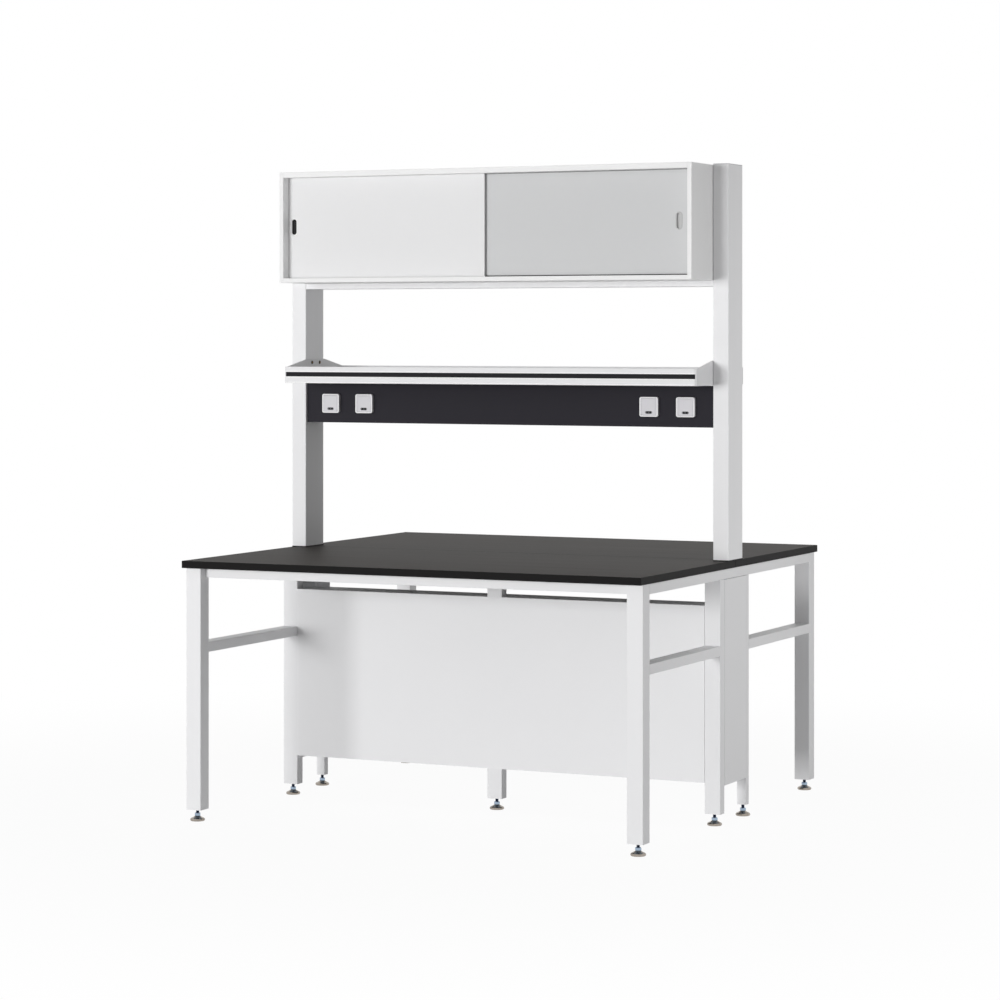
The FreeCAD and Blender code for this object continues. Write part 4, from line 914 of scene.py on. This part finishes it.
class BENCH_OT_pulls(bpy.types.Operator):
    """Model the doors' cup pulls: a rounded rim round a pill-shaped cup"""

    bl_idname = "bench.pulls"
    bl_label = "Door pulls"

    def execute(self, context):
        colours = finish_settings()
        rims = {
            "left": metal("pull_rim_bright", colours.pull_white),
            "right": coat("pull_rim_grey", colours.pull_grey),
        }
        cups = {
            "left": coat("cup_black", colours.cup_black),
            # the cup is a lighter grey than the rim, painted light against the shade in the cup
            "right": coat("cup_grey", colours.cup_grey),
        }
        for side in ("left", "right"):
            name = "door_pull_" + side
            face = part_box("door_" + side)[0].y
            ring = piece_from(self.rim(name, face), name + "_rim", BODY_OF[name], rims[side])
            piece_from(self.cup(name, face), name + "_cup", BODY_OF[name], cups[side])
            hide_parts(name)
        return {"FINISHED"}

    @staticmethod
    def half_size(name):
        """Half the width and height of a pull, and its middle on the door's face."""
        low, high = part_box(name)
        return (high - low) / 2, (low + high) / 2

    @classmethod
    def rim(cls, name, face):
        """Flat ring with rounded edges, a little proud of the door's face."""
        detail = detail_settings()
        half, middle = cls.half_size(name)
        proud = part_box(name)[0].y - face
        shape = pill_face(half.x, half.z)
        flat_ring(shape, detail.pull_rim)
        push(shape, shape.faces[:], proud)
        soften(shape, sharp_edges_at(shape, proud), detail.pull_round, 3)
        return move(shape, (middle.x, face, middle.z))

    @classmethod
    def cup(cls, name, face):
        """Pill-shaped cup that goes back through the door, with a rounded floor."""
        detail = detail_settings()
        half, middle = cls.half_size(name)
        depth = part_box(name)[1].y - face
        outside = detail.pull_rim - detail.pull_wall
        shape = pill_face(half.x - outside, half.z - outside)
        push(shape, shape.faces[:], depth)
        mouth = [item for item in shape.faces if abs(item.calc_center_median().y) < NEAR]
        inset(shape, mouth, detail.pull_wall)
        floor = push(shape, mouth, depth - detail.pull_wall, hollow=True)
        soften(shape, list(floor[0].edges), detail.cup_round, 4)
        return move(shape, (middle.x, face, middle.z))


def seen_directly(tree):
    """1 for what the camera sees, straight, in a reflection or through glass, and 0 for light."""
    path = add(tree, "ShaderNodeLightPath")
    total = path.outputs["Is Camera Ray"]
    for label in ("Is Glossy Ray", "Is Transmission Ray"):
        either = add(tree, "ShaderNodeMath", operation="MAXIMUM")
        tree.links.new(total, either.inputs[0])
        tree.links.new(path.outputs[label], either.inputs[1])
        total = either.outputs[0]
    return total


class BENCH_OT_stage(bpy.types.Operator):
    """Set up the pale floor, the soft lights and the camera"""

    bl_idname = "bench.stage"
    bl_label = "Stage"

    def execute(self, context):
        stage = stage_settings()
        self.floor(stage)
        self.world(stage)
        self.lights(stage)
        self.camera(stage)
        context.scene.view_settings.view_transform = "Standard"
        return {"FINISHED"}

    @staticmethod
    def floor(stage):
        """Matt floor that takes the shadow and is seen as nearly white."""
        shape = bmesh.new()
        bmesh.ops.create_grid(shape, x_segments=1, y_segments=1, size=FLOOR_HALF)
        mesh = bpy.data.meshes.new("floor")
        shape.to_mesh(mesh)
        shape.free()
        floor = bpy.data.objects.new("floor", mesh)
        bpy.context.scene.collection.objects.link(floor)
        material = bpy.data.materials.new("floor_pale")
        material.use_nodes = True
        tree = material.node_tree
        shader = tree.nodes["Principled BSDF"]
        shader.inputs["Base Color"].default_value = (*[stage.floor_white] * 3, 1)
        shader.inputs["Roughness"].default_value = 0.9
        shader.inputs["Specular IOR Level"].default_value = 0.1
        glow = add(tree, "ShaderNodeEmission", {"Color": (1, 1, 1, 1), "Strength": 1.0})
        place = add(tree, "ShaderNodeTexCoord")
        distance = add(tree, "ShaderNodeVectorMath", operation="LENGTH")
        tree.links.new(place.outputs["Object"], distance.inputs[0])
        fade = add(tree, "ShaderNodeMapRange", {
            "From Min": FADE_START, "From Max": FADE_END, "To Min": GLOW_NEAR, "To Max": 1.0},
            interpolation_type="SMOOTHSTEP")
        tree.links.new(distance.outputs["Value"], fade.inputs["Value"])
        share = add(tree, "ShaderNodeMath", operation="MULTIPLY")
        tree.links.new(fade.outputs["Result"], share.inputs[1])
        mix = add(tree, "ShaderNodeMixShader")
        tree.links.new(seen_directly(tree), share.inputs[0])
        tree.links.new(share.outputs[0], mix.inputs["Fac"])
        tree.links.new(shader.outputs[0], mix.inputs[1])
        tree.links.new(glow.outputs[0], mix.inputs[2])
        tree.links.new(mix.outputs[0], tree.nodes["Material Output"].inputs["Surface"])
        mesh.materials.append(material)

    @staticmethod
    def world(stage):
        """Even grey light, seen as white by the camera and in reflections."""
        world = bpy.data.worlds.new("studio")
        world.use_nodes = True
        bpy.context.scene.world = world
        tree = world.node_tree
        plain = tree.nodes["Background"]
        plain.inputs["Color"].default_value = (1, 1, 1, 1)
        plain.inputs["Strength"].default_value = stage.ambient
        white = add(tree, "ShaderNodeBackground", {"Color": (1, 1, 1, 1), "Strength": 1.0})
        mix = add(tree, "ShaderNodeMixShader")
        tree.links.new(seen_directly(tree), mix.inputs["Fac"])
        tree.links.new(plain.outputs[0], mix.inputs[1])
        tree.links.new(white.outputs[0], mix.inputs[2])
        tree.links.new(mix.outputs[0], tree.nodes["World Output"].inputs["Surface"])

    @staticmethod
    def lights(stage):
        """Broad soft lamps that neither the camera nor reflections show."""
        for name, setting, width, height, place, aim in LIGHTS:
            data = bpy.data.lights.new(name, "AREA")
            data.energy = getattr(stage, setting)
            data.shape = "RECTANGLE"
            data.size = width
            data.size_y = height
            lamp = bpy.data.objects.new(name, data)
            lamp.location = place
            lamp.rotation_euler = (Vector(aim) - Vector(place)).to_track_quat("-Z", "Y").to_euler()
            lamp.visible_camera = False
            lamp.visible_glossy = False
            bpy.context.scene.collection.objects.link(lamp)

    @staticmethod
    def camera(stage):
        data = bpy.data.cameras.new("camera")
        data.lens = stage.lens
        data.sensor_width = 36.0
        data.shift_x = stage.shift_across
        data.shift_y = stage.shift_up
        data.clip_end = 100.0
        camera = bpy.data.objects.new("camera", data)
        camera.location = stage.camera_place
        camera.rotation_euler = (math.pi / 2, 0, stage.camera_turn)
        bpy.context.scene.collection.objects.link(camera)
        bpy.context.scene.camera = camera


# --- Panel and registration -------------------------------------------------------------

OPERATORS = (
    BENCH_OT_worktops, BENCH_OT_frame, BENCH_OT_posts, BENCH_OT_feet, BENCH_OT_shelf,
    BENCH_OT_sockets, BENCH_OT_cabinet, BENCH_OT_pulls, BENCH_OT_stage,
)


class BENCH_PT_sidebar(bpy.types.Panel):
    """Lists the steps that dress the bench"""

    bl_idname = "BENCH_PT_sidebar"
    bl_label = "Lab bench"
    bl_space_type = "VIEW_3D"
    bl_region_type = "UI"
    bl_category = "Lab bench"

    def draw(self, context):
        for operator in OPERATORS:
            self.layout.operator(operator.bl_idname)
        for group in (finish_settings(), detail_settings(), stage_settings()):
            box = self.layout.box()
            for key in group.__annotations__:
                box.prop(group, key)


SETTINGS = (("bench_finish", BenchFinish), ("bench_detail", BenchDetail),
            ("bench_stage", BenchStage))


def register():
    for _, group in SETTINGS:
        bpy.utils.register_class(group)
    for item in (*OPERATORS, BENCH_PT_sidebar):
        bpy.utils.register_class(item)
    for name, group in SETTINGS:
        setattr(bpy.types.Scene, name, PointerProperty(type=group))


def unregister():
    for name, _ in SETTINGS:
        delattr(bpy.types.Scene, name)
    for item in (BENCH_PT_sidebar, *reversed(OPERATORS)):
        bpy.utils.unregister_class(item)
    for _, group in reversed(SETTINGS):
        bpy.utils.unregister_class(group)


def main():
    register()
    bpy.ops.bench.worktops()
    bpy.ops.bench.frame()
    bpy.ops.bench.posts()
    bpy.ops.bench.feet()
    bpy.ops.bench.shelf()
    bpy.ops.bench.sockets()
    bpy.ops.bench.cabinet()
    bpy.ops.bench.pulls()
    bpy.ops.bench.stage()


if __name__ == "__main__":
    main()
